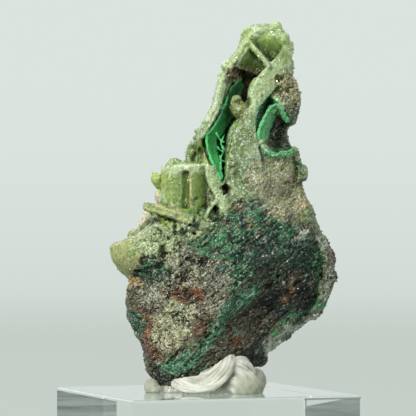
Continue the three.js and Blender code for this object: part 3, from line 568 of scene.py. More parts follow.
# Where the minerals lie on the front, from below up.
skinPatches = [
    spot("teal", 0.9, 32.6, 5.5, 3.8),
    spot("teal", 7.2, 30.5, 6.4, 5.8),
    spot("teal", 13.5, 32.2, 6.6, 5.3),
    spot("tealDark", 10.5, 30, 5.5, 4.2, edge=1),
    spot("teal", 4, 25.4, 3.8, 3.8),
    spot("teal", 10.4, 22.7, 3.4, 3, amount=0.7),
    spot("tealDark", 20, 28, 4.2, 6, edge=0.8),
    spot("teal", 8.3, 37.5, 3.4, 3),
    spot("dark", 15.7, 19.5, 8.5, 7.2),
    spot("dark", 9.7, 14.2, 5.1, 5.9),
    spot("dark", -7.6, 2.2, 3.4, 1.3),
    spot("black", 18.2, 20, 5.8, 4.6, edge=1.2),
    spot("black", 11, 8, 3.4, 3.4),
    spot("black", -7.6, 2.4, 3.4, 1.6),
    spot("greyBrown", -5.5, 25.9, 3.8, 4.7),
    spot("greyBrown", 2.5, 24.8, 3.2, 3.8),
    spot("greyBrown", -11.4, 21.2, 3.4, 3),
    spot("greyBrown", 1.9, 19.5, 3, 2.1),
    spot("beige", -7, 27.5, 2.8, 2.6, amount=0.8),
    streak("paleCrust", 0.7, (-5.4, 29.5), (-6.8, 26.4), (-8.6, 23.8), (-10.6, 20.6), ragged=1.4,
        amount=0.45),
    spot("tealDark", -11.2, 25.2, 3.6, 2.4, amount=0.85),
    spot("teal", -10.8, 26.2, 2.8, 1.3, amount=0.8),
    spot("cream", -7.6, 13.6, 4.7, 4.2),
    spot("cream", -5.5, 17.8, 3.4, 2.1),
    spot("cream", -3, 26.3, 1.3, 1.9, amount=0.7),
    spot("rust", -3.6, 21, 3.2, 1.5),
    spot("dark", -4.2, 21, 1.6, 0.9, amount=0.7),
    spot("rust", 0, 13.6, 2.1, 2.5, amount=0.6),
    spot("rust", 6.4, 11.1, 1.3, 0.8),
    streak("rust", 0.75, (-14.4, 18.3), (-12.3, 16.1), (-12.7, 10.6), (-11.2, 8.1), (-9.1, 6.2)),
    streak("turquoise", 1.5, (9.7, 21.2), (5.7, 18.9), (3.4, 16.1), (2.5, 13.2), (0.4, 11.1), (-4, 7.5),
        (-9.1, 4.3)),
    spot("turquoise", -14.6, 14.9, 1.9, 3.4),
    spot("tealDark", -14.8, 14.6, 1.8, 3.2, amount=0.75, edge=0.8),
    streak("turquoise", 0.6, (-11.8, 27.6), (-8, 26.7)),
    spot("turquoise", 7.4, 19.8, 2.6, 1.5, amount=0.8),
    spot("turquoise", -4.6, 5.4, 4.2, 1.5),
    spot("paleCrust", 0.9, 9.4, 2.2, 0.7, amount=0.4),
    spot("black", -9.4, 2.4, 4.6, 2),
    streak("black", 0.5, (-13.4, 10.6), (-11.6, 6.6), (-9.4, 3.4), amount=0.8),
    spot("ivory", -16.6, 25.4, 1.6, 1.2, amount=0.6),
    spot("ochre", -15.9, 23.5, 1.9, 0.9),
    spot("orange", 18.3, 21.9, 0.5, 0.9),
    spot("orange", 19.2, 23.6, 0.4, 0.4),
    spot("orange", 17.2, 20, 0.4, 0.7, amount=0.8),
    spot("orange", 6.9, 39.4, 1.5, 0.8, amount=0.7),
    spot("orange", 8.4, 35.8, 1.1, 0.6, amount=0.7),
    spot("orange", 4.8, 36.2, 1, 0.4, amount=0.5),
    streak("crust", 1.5, (26.4, 30.1), (26.9, 25.9), (26.4, 21.6), (25.2, 18.3)),
    streak("paleCrust", 0.7, (19.4, 33.4), (22.6, 32), (25.2, 30.9), amount=0.7),
    spot("paleCrust", 25.6, 20.6, 0.6, 2.4, amount=0.3),
    spot("malachiteDark", 24.4, 18.2, 1.7, 1, amount=0.9),
    streak("rust", 0.35, (26.9, 29.4), (27.3, 26.6)),
    streak("turquoise", 0.22, (20, 26.6), (23.4, 26.6), ragged=0.3, amount=0.7),
    streak("paleCrust", 0.9, (23.5, 15.6), (19.3, 13.6), (15.2, 11.2), (13.5, 9.2)),
    streak("malachite", 0.4, (24.1, 31.2), (23.9, 24.8), (23.6, 20.4), (21.6, 17.6), (16.3, 14.9),
        (14, 12.5), amount=0.6),
    spot("greyDruse", -10.6, 32.2, 5.6, 3),
    spot("greyDruse", -2.6, 35, 5.4, 2),
    spot("lipDruse", -17.4, 28.6, 3.4, 4.6),
    spot("malachite", -15.6, 29.9, 0.5, 0.3, ragged=0.2),
    spot("ivory", -12, 37.5, 5, 7, behind=0.4),
    spot("frost", 11.2, 50.4, 2.9, 5.8, edge=1),
    spot("beige", 14, 45.3, 5.5, 4.7),
    spot("beige", 16.9, 39.6, 4.6, 3.4),
    streak("ochre", 0.5, (19.8, 47), (20.4, 42), (20.6, 37.5), amount=0.5),
    spot("orange", 20.8, 39.4, 0.7, 0.9, amount=0.5),
    spot("rust", 17.2, 44.4, 1.6, 0.5, amount=0.7),
    spot("paleCrust", 11.4, 38.8, 1.8, 0.6, amount=0.7),
    spot("leafDruse", 7.6, 55.4, 3.6, 4.6, edge=0.8),
    streak("paleRidge", 1.9, (14.6, 69.4), (12.8, 66.4), (11.4, 63.4), (10, 60.4), edge=0.9),
    spot("crust", 17.8, 68.2, 1.4, 2.2, amount=0.5),
    streak("frost", 1.3, (3.4, 66), (2.8, 61.8), (1.4, 58.6), (-0.3, 56.2), (-1.4, 53.6), amount=0.5),
    streak("paleFibre", 0.5, (3, 64.6), (2, 60.4), (0.6, 57.6), edge=0.8, amount=0.5),
    streak("paleFibre", 0.6, (0.6, 57.6), (-1, 55), edge=0.8, amount=0.3),
    spot("glassy", 10.9, 76.9, 2.2, 1, ragged=0.5),
    spot("glassy", 4.4, 69.4, 1.2, 0.9, ragged=0.4, amount=0.8),
    spot("glassy", 17.9, 68.4, 1.2, 1.6, ragged=0.4, amount=0.5),
    # Painted light and shade in the cap's hollow and the hollow under the strut: lit where light shines
    # through the thin cap, dim lower down.
    spot("glowGreen", 12.8, 74.6, 3.2, 1.1, edge=0.9, ragged=0.5),
    spot("shadeGreen", 13.2, 73, 3.2, 1.4, behind=-4.9, edge=0.8, ragged=0.5),
    spot("shadeGreen", 13.6, 71.2, 3, 1.8, behind=-4.9, edge=0.8, ragged=0.5),
    spot("oliveShade", 13.8, 70.8, 2.2, 1.2, behind=-4.9, edge=0.9, amount=0.6),
    spot("glowGreen", 8.8, 71.4, 2.2, 1.8, behind=-5.2, edge=0.8, ragged=0.5),
    spot("shadeGreen", 10.6, 69.1, 3, 2.6, behind=-5, edge=0.8, ragged=0.5),
    spot("oliveShade", 11.6, 67.6, 2.6, 1.2, behind=-5, edge=0.8, ragged=0.5),
    # Painted shade in the cleft beside the left malachite, and in the notch above the brown druse.
    spot("oliveShade", 8.3, 63.6, 2.6, 5.4, behind=-5.4, edge=0.8),
    spot("oliveShade", 6, 56, 3.4, 5, behind=-5.2),
    spot("oliveShade", 3, 50, 2, 5, behind=-5.2),
    spot("oliveShade", 15.5, 66.4, 1.1, 0.9),
    spot("brownDruse", 17.8, 62.8, 2.7, 4.6),
    spot("innerGrey", 17.6, 59.2, 2.2, 1.9, amount=0.8),
    spot("brownDark", 5.9, 66.9, 1.9, 2.2),
    spot("knobGreen", 6.8, 59.7, 2.2, 2.6, amount=0.95, ragged=0.5),
    spot("cellWall", -7.2, 42.2, 2.3, 4.7, ragged=0.3),
    # Painted shade at the foot of the left cell wall.
    spot("shadeGreen", -7, 38.6, 2.2, 1.2, amount=0.5, edge=0.8),
    streak("paleRidge", 0.3, (-5.45, 46.8), (-5.4, 42), (-5.4, 39.4), ragged=0.2),
    streak("paleRidge", 0.4, (-9.1, 46.4), (-9.2, 42), (-9, 39.4), ragged=0.3),
    spot("grooveGreen", -4.3, 42.6, 1, 4.6, ragged=0.2, edge=0.3, amount=0.8),
    # Painted shade on the cell walls: each wall dims towards its right, and the right wall is dimmest at its
    # lower right.
    spot("shadeGreen", -5.9, 41, 1.1, 4.6, ragged=0.2, edge=0.9, amount=0.5),
    spot("cellWall", -2.2, 42.4, 1.5, 4.9, ragged=0.3),
    spot("shadeGreen", -2.2, 41.6, 2, 5, ragged=0.4, edge=1, amount=0.35),
    spot("shadeGreen", 0.2, 42, 1.9, 5.4, ragged=0.4, edge=1),
    spot("oliveShade", 0.6, 41, 1.2, 3.6, ragged=0.4, edge=0.9, amount=0.6),
    streak("ochre", 0.22, (-3.5, 46.6), (-3.55, 38.8), ragged=0.2, amount=0.6),
    spot("oliveShade", 0.2, 38.8, 1, 1.7, ragged=0.4, edge=0.8, amount=0.8),
    spot("black", -2.7, 40.9, 0.45, 0.35, ragged=0.3, amount=0.7),
    # Painted shade in the recess beside the left wall.
    spot("shadeGreen", -1, 50.2, 1.7, 3.1, ragged=0.4),
    spot("oliveShade", -0.7, 50.6, 0.6, 1.7, ragged=0.3, edge=0.7, amount=0.5),
    streak("paleDruse", 0.8, (-9.2, 47.4), (-5, 47.8), (0.4, 48)),
    streak("paleFibre", 0.7, (-9, 47), (-5, 47.2), (0.8, 47.4), ragged=0.4, amount=0.6),
    spot("tubeGreen", -10.2, 44.9, 1.7, 2.4, ragged=0.4),
    streak("lipDruse", 0.75, (-12.6, 39.2), (-8, 38.3), (-5, 37.2)),
    spot("tubeGreen", -8.3, 36.3, 2.1, 1, ragged=0.4, amount=0.7),
    streak("paleRidge", 1.1, (0.9, 48), (1.4, 45.2), (2.3, 43), (3, 41), ragged=0.4),
    streak("paleRidge", 0.5, (2.4, 41.2), (0.9, 38.9), (0, 37.2), ragged=0.4),
    streak("paleRidge", 0.7, (2.9, 40.6), (4.4, 39.6), ragged=0.4),
    # Painted shade in the holes pressed into the front.
    spot("black", 4.4, 42.9, 1, 1.5, ragged=0.5),
    spot("black", 2.1, 38.6, 0.75, 0.9, ragged=0.4),
    spot("black", -10.9, 36.2, 0.6, 0.8, ragged=0.4),
    # Painted shade inside the right hollow.
    spot("innerGrey", 15, 54, 3.2, 5, behind=-5),
    spot("black", 15.3, 57.8, 1.7, 1.8, behind=-5.4),
    streak("malachiteDark", 1, (11.2, 55.8), (11.2, 58.6), (12.5, 61.2), behind=-8.6),
    streak("malachite", 0.3, (10.9, 57.2), (11.3, 59.4), (12.6, 61.9), (13.6, 62.6)),
    streak("malachite", 0.9, (13, 50.8), (16.1, 50.4), (18.3, 51.2)),
    streak("malachiteDark", 0.6, (18.8, 51.9), (19.5, 49.1), (20.5, 44.3)),
    spot("brownDark", 19.7, 50.2, 0.8, 0.9),
    spot("leafDruse", 21.3, 46.6, 0.8, 1.7),
    streak("malachite", 0.5, (13.6, 62), (14.8, 61), (17.3, 58)),
    streak("malachite", 0.9, (5.4, 58), (4.4, 54), (4, 50), (4, 46), behind=-7, amount=0.7),
    streak("malachite", 0.7, (0.9, 53.4), (1.2, 50.6), (2.2, 47.6), (3.4, 45), behind=-8.4),
]

# Minerals strewn in spots over a wide patch. A higher level leaves fewer spots.
skinStrewn = [
    spot("tealDark", 8, 31, 16, 8, wide=2.4, level=0.16),
    spot("dark", 2, 29.4, 9, 5, wide=1.3, level=0.3, amount=0.8),
    spot("innerDruse", -11.5, 31.8, 5, 3.2, wide=1.2, level=0.12, amount=0.5),
    spot("lipDruse", 8, 60, 15, 20, wide=1.6, level=0.26, amount=0.5),
    spot("frost", 8, 62, 15, 18, wide=1.3, level=0.3, amount=0.5),
    spot("brownDruse", 11, 66, 12, 15, wide=0.55, level=0.62, amount=0.3),
    spot("malachite", 8, 31, 15, 9, wide=1.5, level=0.46, amount=0.4),
    spot("greyBrown", 5, 33, 18, 9, wide=1.2, level=0.36, amount=0.8),
    spot("tealDark", 12, 18, 12, 12, wide=1.9, level=0.38, amount=0.7),
    spot("dark", -6, 18, 9, 14, wide=1.1, level=0.26, amount=0.85),
    spot("rust", -5, 14, 9, 10, wide=1.2, level=0.42, amount=0.7),
    spot("rust", 9, 17, 10, 9, wide=0.9, level=0.52, amount=0.6),
    spot("cream", -6, 22, 8, 12, wide=1, level=0.36, amount=0.8),
    spot("beige", 13, 46, 9, 12, wide=1.6, level=0.36, amount=0.6),
    spot("brownDark", 15, 44, 6, 7, wide=1, level=0.46, amount=0.5),
    spot("frost", 9, 49, 7, 11, wide=1.7, level=0.24, amount=0.6),
    spot("turquoise", 6, 26, 18, 20, wide=1.4, level=0.46, amount=0.6),
    spot("rust", 8, 31, 17, 9, wide=0.7, level=0.52, amount=0.6),
    spot("paleCrust", 2, 30, 20, 12, wide=0.8, level=0.56, amount=0.7),
]

# The border between the pale boxwork above and the dark rock below, as (x, z) from left to right.
skinBorder = [
    (-24, 26), (-16.9, 27.6), (-8.7, 31.4), (-4.4, 33.6), (1.9, 36.4), (7.2, 40.8), (11.9, 39.8),
    (16.7, 37), (20.9, 35.2), (26.2, 32.2),
]

skinSettings = {
    "warp": (3.4, 1.3),  # how wide and how far the patches' edges wander
    "fineWarp": (1.2, 0.6),
    "ragged": ((0.9, 1.1), (0.45, 0.7)),  # the finer unevenness of each patch's edge
    "edge": 0.35,  # how soft a patch's edge is, in millimetres
    "backShift": (9.0, 3.0),
    "cragSizes": ((7.0, 0.95), (3.2, 0.3), (1.5, 0.1)),  # width of the crags, and their share
    "facetSizes": ((3.8, 0.42), (1.9, 0.2), (0.95, 0.12)),
    "beadSize": 0.8,
    "gritSize": 0.5,
    "gaps": ((2, 0.05), (14, 0.25)),  # how many neighbours away a gap is felt, and its full depth
    "lean": (0.4, 0.8, 1.1),  # the crags are drawn out and lean up to the right
    "swirl": (6.0, 1.6),
    "ridges": (3.6, 0.45),
    "gritPatches": 3.5,
    "calm": (38, 46, 0.65),  # from these heights up the patches keep closer to their places
    "paleHeights": (52, 66),  # where the druse turns paler, upwards
    "tipHeights": (34, 44),  # and where it gets its fine tips
    "innerDepth": (2.0, 6.0),  # how far behind the front face it turns to the druse of painted shade
    "spotEdge": 0.18,
    "clumps": (1.3, 0.6),
}

rockMinerals = (
    "teal", "tealDark", "greyBrown", "rust", "cream", "turquoise", "dark", "black", "malachite",
    "malachiteDark", "innerGrey", "crust", "brownDark", "oliveShade", "ochre", "orange",
)


# One mineral as a row of numbers: its three colours and then its traits.
def mineralRow(name):
    *colours, numbers = minerals[name]
    channels = [channel for colour in colours for channel in paint(*colour)[:3]]
    row = np.zeros(len(channels) + len(traits))
    row[:len(channels)] = channels
    row[len(channels):len(channels) + len(numbers)] = numbers
    row[-1] = name in rockMinerals
    return row


# One trait's column in such rows.
def columnOf(trait):
    return 9 + traits.index(trait)


def patchWeight(patch, x, y, z, ragged, edge):
    if "line" in patch:
        nearest = np.full(len(x), 1e9)
        points = patch["line"]
        for (ax, az), (bx, bz) in zip(points, points[1:]):
            length = (bx - ax) ** 2 + (bz - az) ** 2
            share = np.clip(((x - ax) * (bx - ax) + (z - az) * (bz - az)) / length, 0, 1)
            away = np.hypot(x - ax - share * (bx - ax), z - az - share * (bz - az))
            nearest = np.minimum(nearest, away)
        outside = nearest - patch["width"]
    else:
        (cx, cz), (rx, rz) = patch["at"], patch["size"]
        outside = (np.hypot((x - cx) / rx, (z - cz) / rz) - 1) * min(rx, rz)
    edge = patch.get("edge", edge)
    weight = smoothStep(edge, -edge, outside + ragged * patch.get("ragged", 1.0)) * patch.get("amount", 1.0)
    if "behind" in patch:
        weight = weight * smoothStep(patch["behind"] - 0.5, patch["behind"] + 0.5, y)
    return weight


# Where the specimen's back begins, and its front face, by height: (z, y).
backStart = ((0, 2.0), (20, 4.0), (60, 3.4), (70, 2.8), (78, 1.4))
frontFace = ((20, -11.0), (36, -9.5), (45, -8.6), (56, -7.6), (65, -6.4), (73, -5.2), (78, -2.0))


# Each point's colours and traits, from the patches, whose edges wander. The back has the same patches,
# mirrored, moved and warped further.
def skinOf(points, s):
    x, y, z = points.T
    size, far = s["warp"]
    fineSize, fineFar = s["fineWarp"]
    wanderX = smoothField(points, size, 11) * far + smoothField(points, fineSize, 31) * fineFar
    wanderZ = smoothField(points, size, 53) * far + smoothField(points, fineSize, 71) * fineFar
    low, high, calming = s["calm"]
    calm = 1 - calming * smoothStep(low, high, z)
    wanderX *= calm
    wanderZ *= calm
    ragged = [
        sum(smoothField(points, wide, 100 + i) * far for wide, far in s["ragged"])
        for i in range(6)
    ]
    behind = smoothStep(-0.8, 0.8, y - np.interp(z, *zip(*backStart)))
    shiftX, shiftZ = s["backShift"]
    spots = []
    for i, strewn in enumerate(skinStrewn):
        wide = strewn["wide"]
        spots.append(smoothField(points, wide, 200 + i) + 0.4 * smoothField(points, wide / 2.3, 230 + i))
    front = skinSide(x + wanderX, y, z + wanderZ, spots, ragged, s)
    back = skinSide(shiftX - x + 3 * wanderX, -y, z + shiftZ + 3 * wanderZ, spots, ragged, s)
    return front * (1 - behind[:, None]) + back * behind[:, None]


def skinSide(x, y, z, spots, ragged, s):
    border = np.interp(x, *zip(*skinBorder))
    above = smoothStep(-s["edge"], s["edge"], z - border + ragged[5])[:, None]
    higher = smoothStep(*s["paleHeights"], z)[:, None]
    druse = mineralRow("leafDruse") * (1 - higher) + mineralRow("paleDruse") * higher
    # Druse deep behind the front face turns to the inner druse: painted shade in the recesses.
    depth = y - np.interp(z, *zip(*frontFace)) + ragged[4]
    inner = smoothStep(*s["innerDepth"], depth)[:, None]
    druse += inner * (mineralRow("innerDruse") - druse)
    skin = mineralRow("dark") * (1 - above) + druse * above
    for i, patch in enumerate(skinPatches):
        weight = patchWeight(patch, x, y, z, ragged[i % 6], s["edge"])[:, None]
        skin += weight * (mineralRow(patch["of"]) - skin)
    for i, strewn in enumerate(skinStrewn):
        weight = smoothStep(strewn["level"], strewn["level"] + s["spotEdge"], spots[i])
        weight = weight * patchWeight(strewn, x, y, z, ragged[i % 6], 2.0)
        skin += weight[:, None] * (mineralRow(strewn["of"]) - skin)
    return skin


def roughenStone(mesh, s):
    points = pointsOf(mesh)
    x, y, z = points.T
    skin = skinOf(points, s)
    crag, bead, grit = (skin[:, columnOf(trait)] for trait in ("crag", "bead", "grit"))
    across, slope, upward = s["lean"]
    lean = np.stack([across * (x + slope * z), y, upward * (z - slope * x)], axis=1)
    rise = sum(smoothField(lean, size, i) * share for i, (size, share) in enumerate(s["cragSizes"]))
    ridgeSize, ridged = s["ridges"]
    ridges = 0.3 - np.abs(smoothField(points * (1.0, 1.0, 1.6), ridgeSize, 9))
    patchy = 0.45 + 0.9 * smoothStep(-0.3, 0.5, smoothField(points, s["gritPatches"], 77))
    swirlSize, swirl = s["swirl"]
    lean += swirl * smoothField(points, swirlSize, 91)[:, None]
    facets = sum(facetField(lean, size, i) * share for i, (size, share) in enumerate(s["facetSizes"]))
    points += normalsOf(mesh) * (crag * (rise + ridges * ridged + facets))[:, None]
    movePoints(mesh, points)
    beads = beadField(points, s["beadSize"], 5)
    fineBeads = beadField(points, 0.55 * s["beadSize"], 6)
    gritty = facetField(lean, s["gritSize"], 17)
    lift = bead * (0.7 * beads + 0.3 * fineBeads - 0.5) + grit * gritty * patchy
    movePoints(mesh, points + normalsOf(mesh) * lift[:, None])
    return skin


# How deep each point lies in a gap, from -1 on a crest to 1. The skin paints shade into the gaps by it.
def creviceOf(mesh, gaps):
    points = pointsOf(mesh)
    normals = normalsOf(mesh)
    sunk = [
        np.sum((neighbourMean(mesh, points, rounds) - points) * normals, axis=1) / depth
        for rounds, depth in gaps
    ]
    return sum(np.clip(share, -1, 1) * 0.5 for share in sunk)


# Pale grains grow in clumps, not evenly.
def clumpGrains(mesh, skin, wide, fine):
    points = pointsOf(mesh)
    clumps = smoothField(points, wide, 61) + 0.5 * smoothField(points, fine, 62)
    skin[:, columnOf("grains")] *= 0.12 + 0.88 * smoothStep(-0.15, 0.35, clumps)


def storeSkin(mesh, skin, crevice, tipHeights):
    high = smoothStep(*tipHeights, pointsOf(mesh)[:, 2])
    storeNumber(mesh, "tips", skin[:, columnOf("crystals")] * high)
    for i, colour in enumerate(("tone", "shade", "fleck")):
        storeColour(mesh, colour, skin[:, 3 * i:3 * i + 3])
    for trait in ("flecks", "rough", "crystals", "grains", "fuzz", "rock"):
        storeNumber(mesh, trait, skin[:, columnOf(trait)])
    storeNumber(mesh, "crevice", crevice)


# Materials

# Adds a node: first its settings, then the values or links of its sockets.
def addNode(tree, kind, settings, sockets):
    made = tree.nodes.new(kind)
    for key, value in settings.items():
        setattr(made, key, value)
    for key, value in sockets.items():
        if isinstance(value, bpy.types.NodeSocket):
            tree.links.new(value, made.inputs[key])
        else:
            made.inputs[key].default_value = value
    return made


# One socket. Arithmetic on it adds Math nodes.
class Wire:
    def __init__(self, finish, socket):
        self.finish = finish
        self.socket = socket

    def reckon(self, operation, first, second):
        return self.finish.node("Math", {"operation": operation}, {0: first, 1: second})

    def __add__(self, other):
        return self.reckon("ADD", self, other)

    def __sub__(self, other):
        return self.reckon("SUBTRACT", self, other)

    def __rsub__(self, other):
        return self.reckon("SUBTRACT", other, self)

    def __mul__(self, other):
        return self.reckon("MULTIPLY", self, other)

    def __gt__(self, other):
        return self.reckon("GREATER_THAN", self, other)

    __radd__ = __add__
    __rmul__ = __mul__


# One material and its nodes.
class Finish:
    def __init__(self, name):
        self.material = bpy.data.materials.new(name)
        self.material.use_nodes = True
        self.tree = self.material.node_tree
        self.tree.nodes.clear()

    def node(self, kind, settings, sockets, output=0):
        sockets = {key: getattr(value, "socket", value) for key, value in sockets.items()}
        made = addNode(self.tree, "ShaderNode" + kind, settings, sockets)
        return Wire(self, made.outputs[output])

    def vector(self, operation, first, second=(0, 0, 0), output=0):
        return self.node("VectorMath", {"operation": operation}, {0: first, 1: second}, output)

    def place(self):  # in millimetres
        raw = self.node("TexCoord", {}, {}, "Object")
        return self.vector("MULTIPLY", raw, (1000, 1000, 1000))

    def slanted(self, place, turn, stretch):
        sockets = {"Vector": place, "Rotation": turn, "Scale": stretch}
        return self.node("Mapping", {"vector_type": "TEXTURE"}, sockets)

    def number(self, name, output="Fac"):
        return self.node("Attribute", {"attribute_name": name}, {}, output)

    def colour(self, name):
        return self.number(name, "Color")

    def noise(self, place, size, detail=2.0, rough=0.5, output=0):
        sockets = {"Vector": place, "Scale": 1 / size, "Detail": detail, "Roughness": rough}
        return self.node("TexNoise", {}, sockets, output)

    def cells(self, place, size):  # one random colour for each cell
        return self.node("TexVoronoi", {}, {"Vector": place, "Scale": 1 / size}, "Color")

    def channel(self, colour, i=0):
        return self.node("SeparateColor", {}, {0: colour}, i)

    def step(self, value, low, high):
        settings = {"interpolation_type": "SMOOTHSTEP"}
        return self.node("MapRange", settings, {"Value": value, "From Min": low, "From Max": high})

    def mix(self, share, first, second, how="MIX"):
        settings = {"data_type": "RGBA", "blend_type": how}
        return self.node("Mix", settings, {0: share, 6: first, 7: second}, 2)

    def bump(self, height, strength, distance, normal=None):
        sockets = {"Height": height, "Strength": strength, "Distance": distance}
        if normal:
            sockets["Normal"] = normal
        return self.node("Bump", {}, sockets)

    def finish(self, colour, rough, more):
        sockets = {"Base Color": colour, "Roughness": rough, **more}
        shader = self.node("BsdfPrincipled", {}, sockets)
        addNode(self.tree, "ShaderNodeOutputMaterial", {}, {"Surface": shader.socket})
        return self.material


# The pale druse and the rock below have the same pattern, drawn finer or coarser.
# The gap colour draws the dark veins, and also the painted shade in the crevices.
skinFinishes = {
    "druse": {
        "lean": (0, -1.15, 0), "stretch": (1.7, 1.0, 0.75), "streak": 0.7, "facet": 0.32, "low": 0.34,
        "high": 0.9, "vein": 0.9, "veins": 0.2, "paintedGlints": 0.22, "bare": 0.3, "tilt": 0.3, "crystalTilt": 1.0,
        "specular": 0.5, "subsurface": 0.5, "relief": 0.0001, "gap": (104, 124, 50),
    },
    "rock": {
        "lean": (0, -0.66, 0), "stretch": (2.6, 1.0, 0.5), "streak": 0.7, "facet": 0.36, "low": 0.42,
        "high": 0.78, "vein": 0.8, "veins": 0.7, "paintedGlints": 0.13, "bare": -0.5, "tilt": 0.7, "crystalTilt": 0.8,
        "specular": 0.35, "subsurface": 0.0, "relief": 0.0002, "gap": (30, 32, 16),
    },
}


def skinMaterial(name, s):
    f = Finish(name)
    place = f.place()
    swirl = f.noise(place, 1 / 0.45, output="Color")
    swirled = f.node("VectorMath", {"operation": "MULTIPLY_ADD"}, {0: swirl, 1: (3.0, 3.0, 3.0), 2: place})
    slanted = f.slanted(swirled, s["lean"], s["stretch"])
    streaks = f.noise(slanted, s["streak"], 4, 0.7)
    facets = f.cells(slanted, s["facet"])
    luck = f.channel(facets, 0)
    shine = f.channel(facets, 1)
    smallLuck = f.channel(f.cells(place, 0.24))
    crevice = f.number("crevice")
    crystals = f.number("crystals")
    # Points in crevices lean to the shade colour: painted shade.
    mixing = 0.84 * streaks + 0.24 * luck + 0.24 * smallLuck - 0.24 * crevice
    colour = f.mix(f.step(mixing, s["low"], s["high"]), f.colour("shade"), f.colour("tone"))
    fleckAt = 0.71 - 0.9 * f.number("flecks")
    flecked = f.step(f.noise(place, 0.36, 2, 0.6) - fleckAt, 0.0, 0.05)
    colour = f.mix(flecked, colour, f.colour("fleck"))
    fromVein = f.noise(slanted, s["vein"], 3, 0.6) - 0.5
    veined = f.step(fromVein * fromVein, 0.0016, 0.0) * s["veins"]  # thin dark lines between the fibres
    colour = f.mix(veined, colour, paint(*s["gap"]), "MULTIPLY")
    # Painted glints: pale flecks on some grains, kept out of the crevices, stand in for quartz faces catching
    # the light.
    paintedGlints = (smallLuck > 1 - s["paintedGlints"]) * f.step(crevice, 0.5, 0.0) * f.step(luck, 0.1, 0.7)
    paintedGlints = paintedGlints * f.step(crystals, s["bare"], 0.9)
    colour = f.mix(paintedGlints, colour, paint(248, 250, 242))
    # Painted shade: the crevices are dimmed with the gap colour.
    creviceShade = f.step(crevice, 0.1, 0.9) * 0.65
    colour = f.mix(creviceShade, colour, paint(*s["gap"]), "MULTIPLY")
    grit = f.noise(place, 0.22, 3, 0.7)
    rough = f.number("rough") + 0.25 * (grit - 0.5) - (0.08 + 0.2 * crystals) * (shine > 0.62)
    tilt = f.vector("SUBTRACT", facets, (0.5, 0.5, 0.5))
    tilt = f.node("VectorMath", {"operation": "SCALE"}, {0: tilt, 3: s["tilt"] + s["crystalTilt"] * crystals})
    tilted = f.vector("NORMALIZE", f.vector("ADD", tilt, f.node("NewGeometry", {}, {}, "Normal")))
    return f.finish(colour, rough, {
        "IOR": 1.54,
        "Specular IOR Level": s["specular"],
        "Subsurface Weight": s["subsurface"],
        "Subsurface Radius": (1.0, 1.2, 0.7),
        "Subsurface Scale": 0.0009,
        "Normal": f.bump(0.4 * grit + 0.6 * streaks, 1.0, s["relief"], tilted),
    })


def crystalMaterial():
    f = Finish("drusyQuartz")
    place = f.place()
    mixing = f.step(0.7 * f.number("luck") + 0.3 * f.noise(place, 0.5), 0.3, 1.0)
    colour = f.mix(mixing * 0.5, f.colour("tone"), paint(228, 240, 198))
    glassy = {"IOR": 1.54, "Specular IOR Level": 0.9, "Transmission Weight": 0.4}
    return f.finish(colour, 0.03 + 0.14 * f.noise(place, 0.3), glassy)


def grainMaterial():
    f = Finish("paleGrains")
    luck = f.number("luck")
    colour = f.mix(f.step(luck, 0.35, 1.0) * 0.9, f.colour("tone"), paint(230, 234, 208))
    colour = f.mix(f.step(luck, 0.3, 0.0) * 0.7, colour, f.colour("shade"))
    return f.finish(colour, 0.2 + 0.3 * f.noise(f.place(), 0.3), {"IOR": 1.54})


def fuzzMaterial():
    f = Finish("malachiteNeedles")
    place = f.place()
    mixing = f.step(0.6 * f.number("luck") + 0.4 * f.noise(place, 0.6), 0.1, 0.9)
    colour = f.mix(mixing, f.colour("shade"), f.colour("tone"))
    return f.finish(colour, 0.4 + 0.2 * f.noise(place, 0.4), {})


# Growths scattered on the stone

# Places small copies of a shape over a mesh, where its attribute says how thickly, and keeps them as one
# mesh. Each copy takes the stone's colours where it stands, and a luck of its own.
def scattered(name, ground, shape, s):
    tree = bpy.data.node_groups.new(name, "GeometryNodeTree")
    for way in ("INPUT", "OUTPUT"):
        tree.interface.new_socket("Geometry", in_out=way, socket_type="NodeSocketGeometry")

    def node(kind, sockets, **settings):
        return addNode(tree, kind, settings, sockets)

    def randomValue(kind, i, sockets):
        return node("FunctionNodeRandomValue", {**sockets, "Seed": s["seed"] + i}, data_type=kind)

    stone = node("NodeGroupInput", {})
    thickness = node("GeometryNodeInputNamedAttribute", {"Name": s["grows"]}, data_type="FLOAT")
    points = node("GeometryNodeDistributePointsOnFaces", {
        "Mesh": stone.outputs[0],
        "Distance Min": s["apart"],
        "Density Max": s["density"],
        "Density Factor": thickness.outputs[0],
        "Seed": s["seed"],
    }, distribute_method="POISSON")
    tilt = s["tilt"]
    lean = randomValue("FLOAT_VECTOR", 1, {0: (-tilt, -tilt, 0.0), 1: (tilt, tilt, 2 * math.pi)})
    leaned = node("FunctionNodeEulerToRotation", {0: lean.outputs[0]})
    turned = node("FunctionNodeRotateRotation", {
        0: points.outputs["Rotation"],
        1: leaned.outputs[0],
    }, rotation_space="LOCAL")
    size = randomValue("FLOAT", 2, dict(zip((2, 3), s["sizes"])))
    copies = node("GeometryNodeInstanceOnPoints", {
        "Points": points.outputs["Points"],
        "Instance": node("GeometryNodeObjectInfo", {"Object": shape}).outputs["Geometry"],
        "Rotation": turned.outputs[0],
        "Scale": size.outputs[1],
    })
    lucky = node("GeometryNodeStoreNamedAttribute", {
        "Geometry": copies.outputs[0],
        "Name": "luck",
        "Value": randomValue("FLOAT", 3, {}).outputs[1],
    }, data_type="FLOAT", domain="INSTANCE")
    real = node("GeometryNodeRealizeInstances", {0: lucky.outputs[0]})
    node("NodeGroupOutput", {0: real.outputs[0]})

    made = newObject(name, ground.copy())
    addModifier(made, "NODES", node_group=tree)
    mesh = bakedMesh(made)
    bpy.data.node_groups.remove(tree)
    print(name + ":", len(mesh.polygons), "faces")
    return made


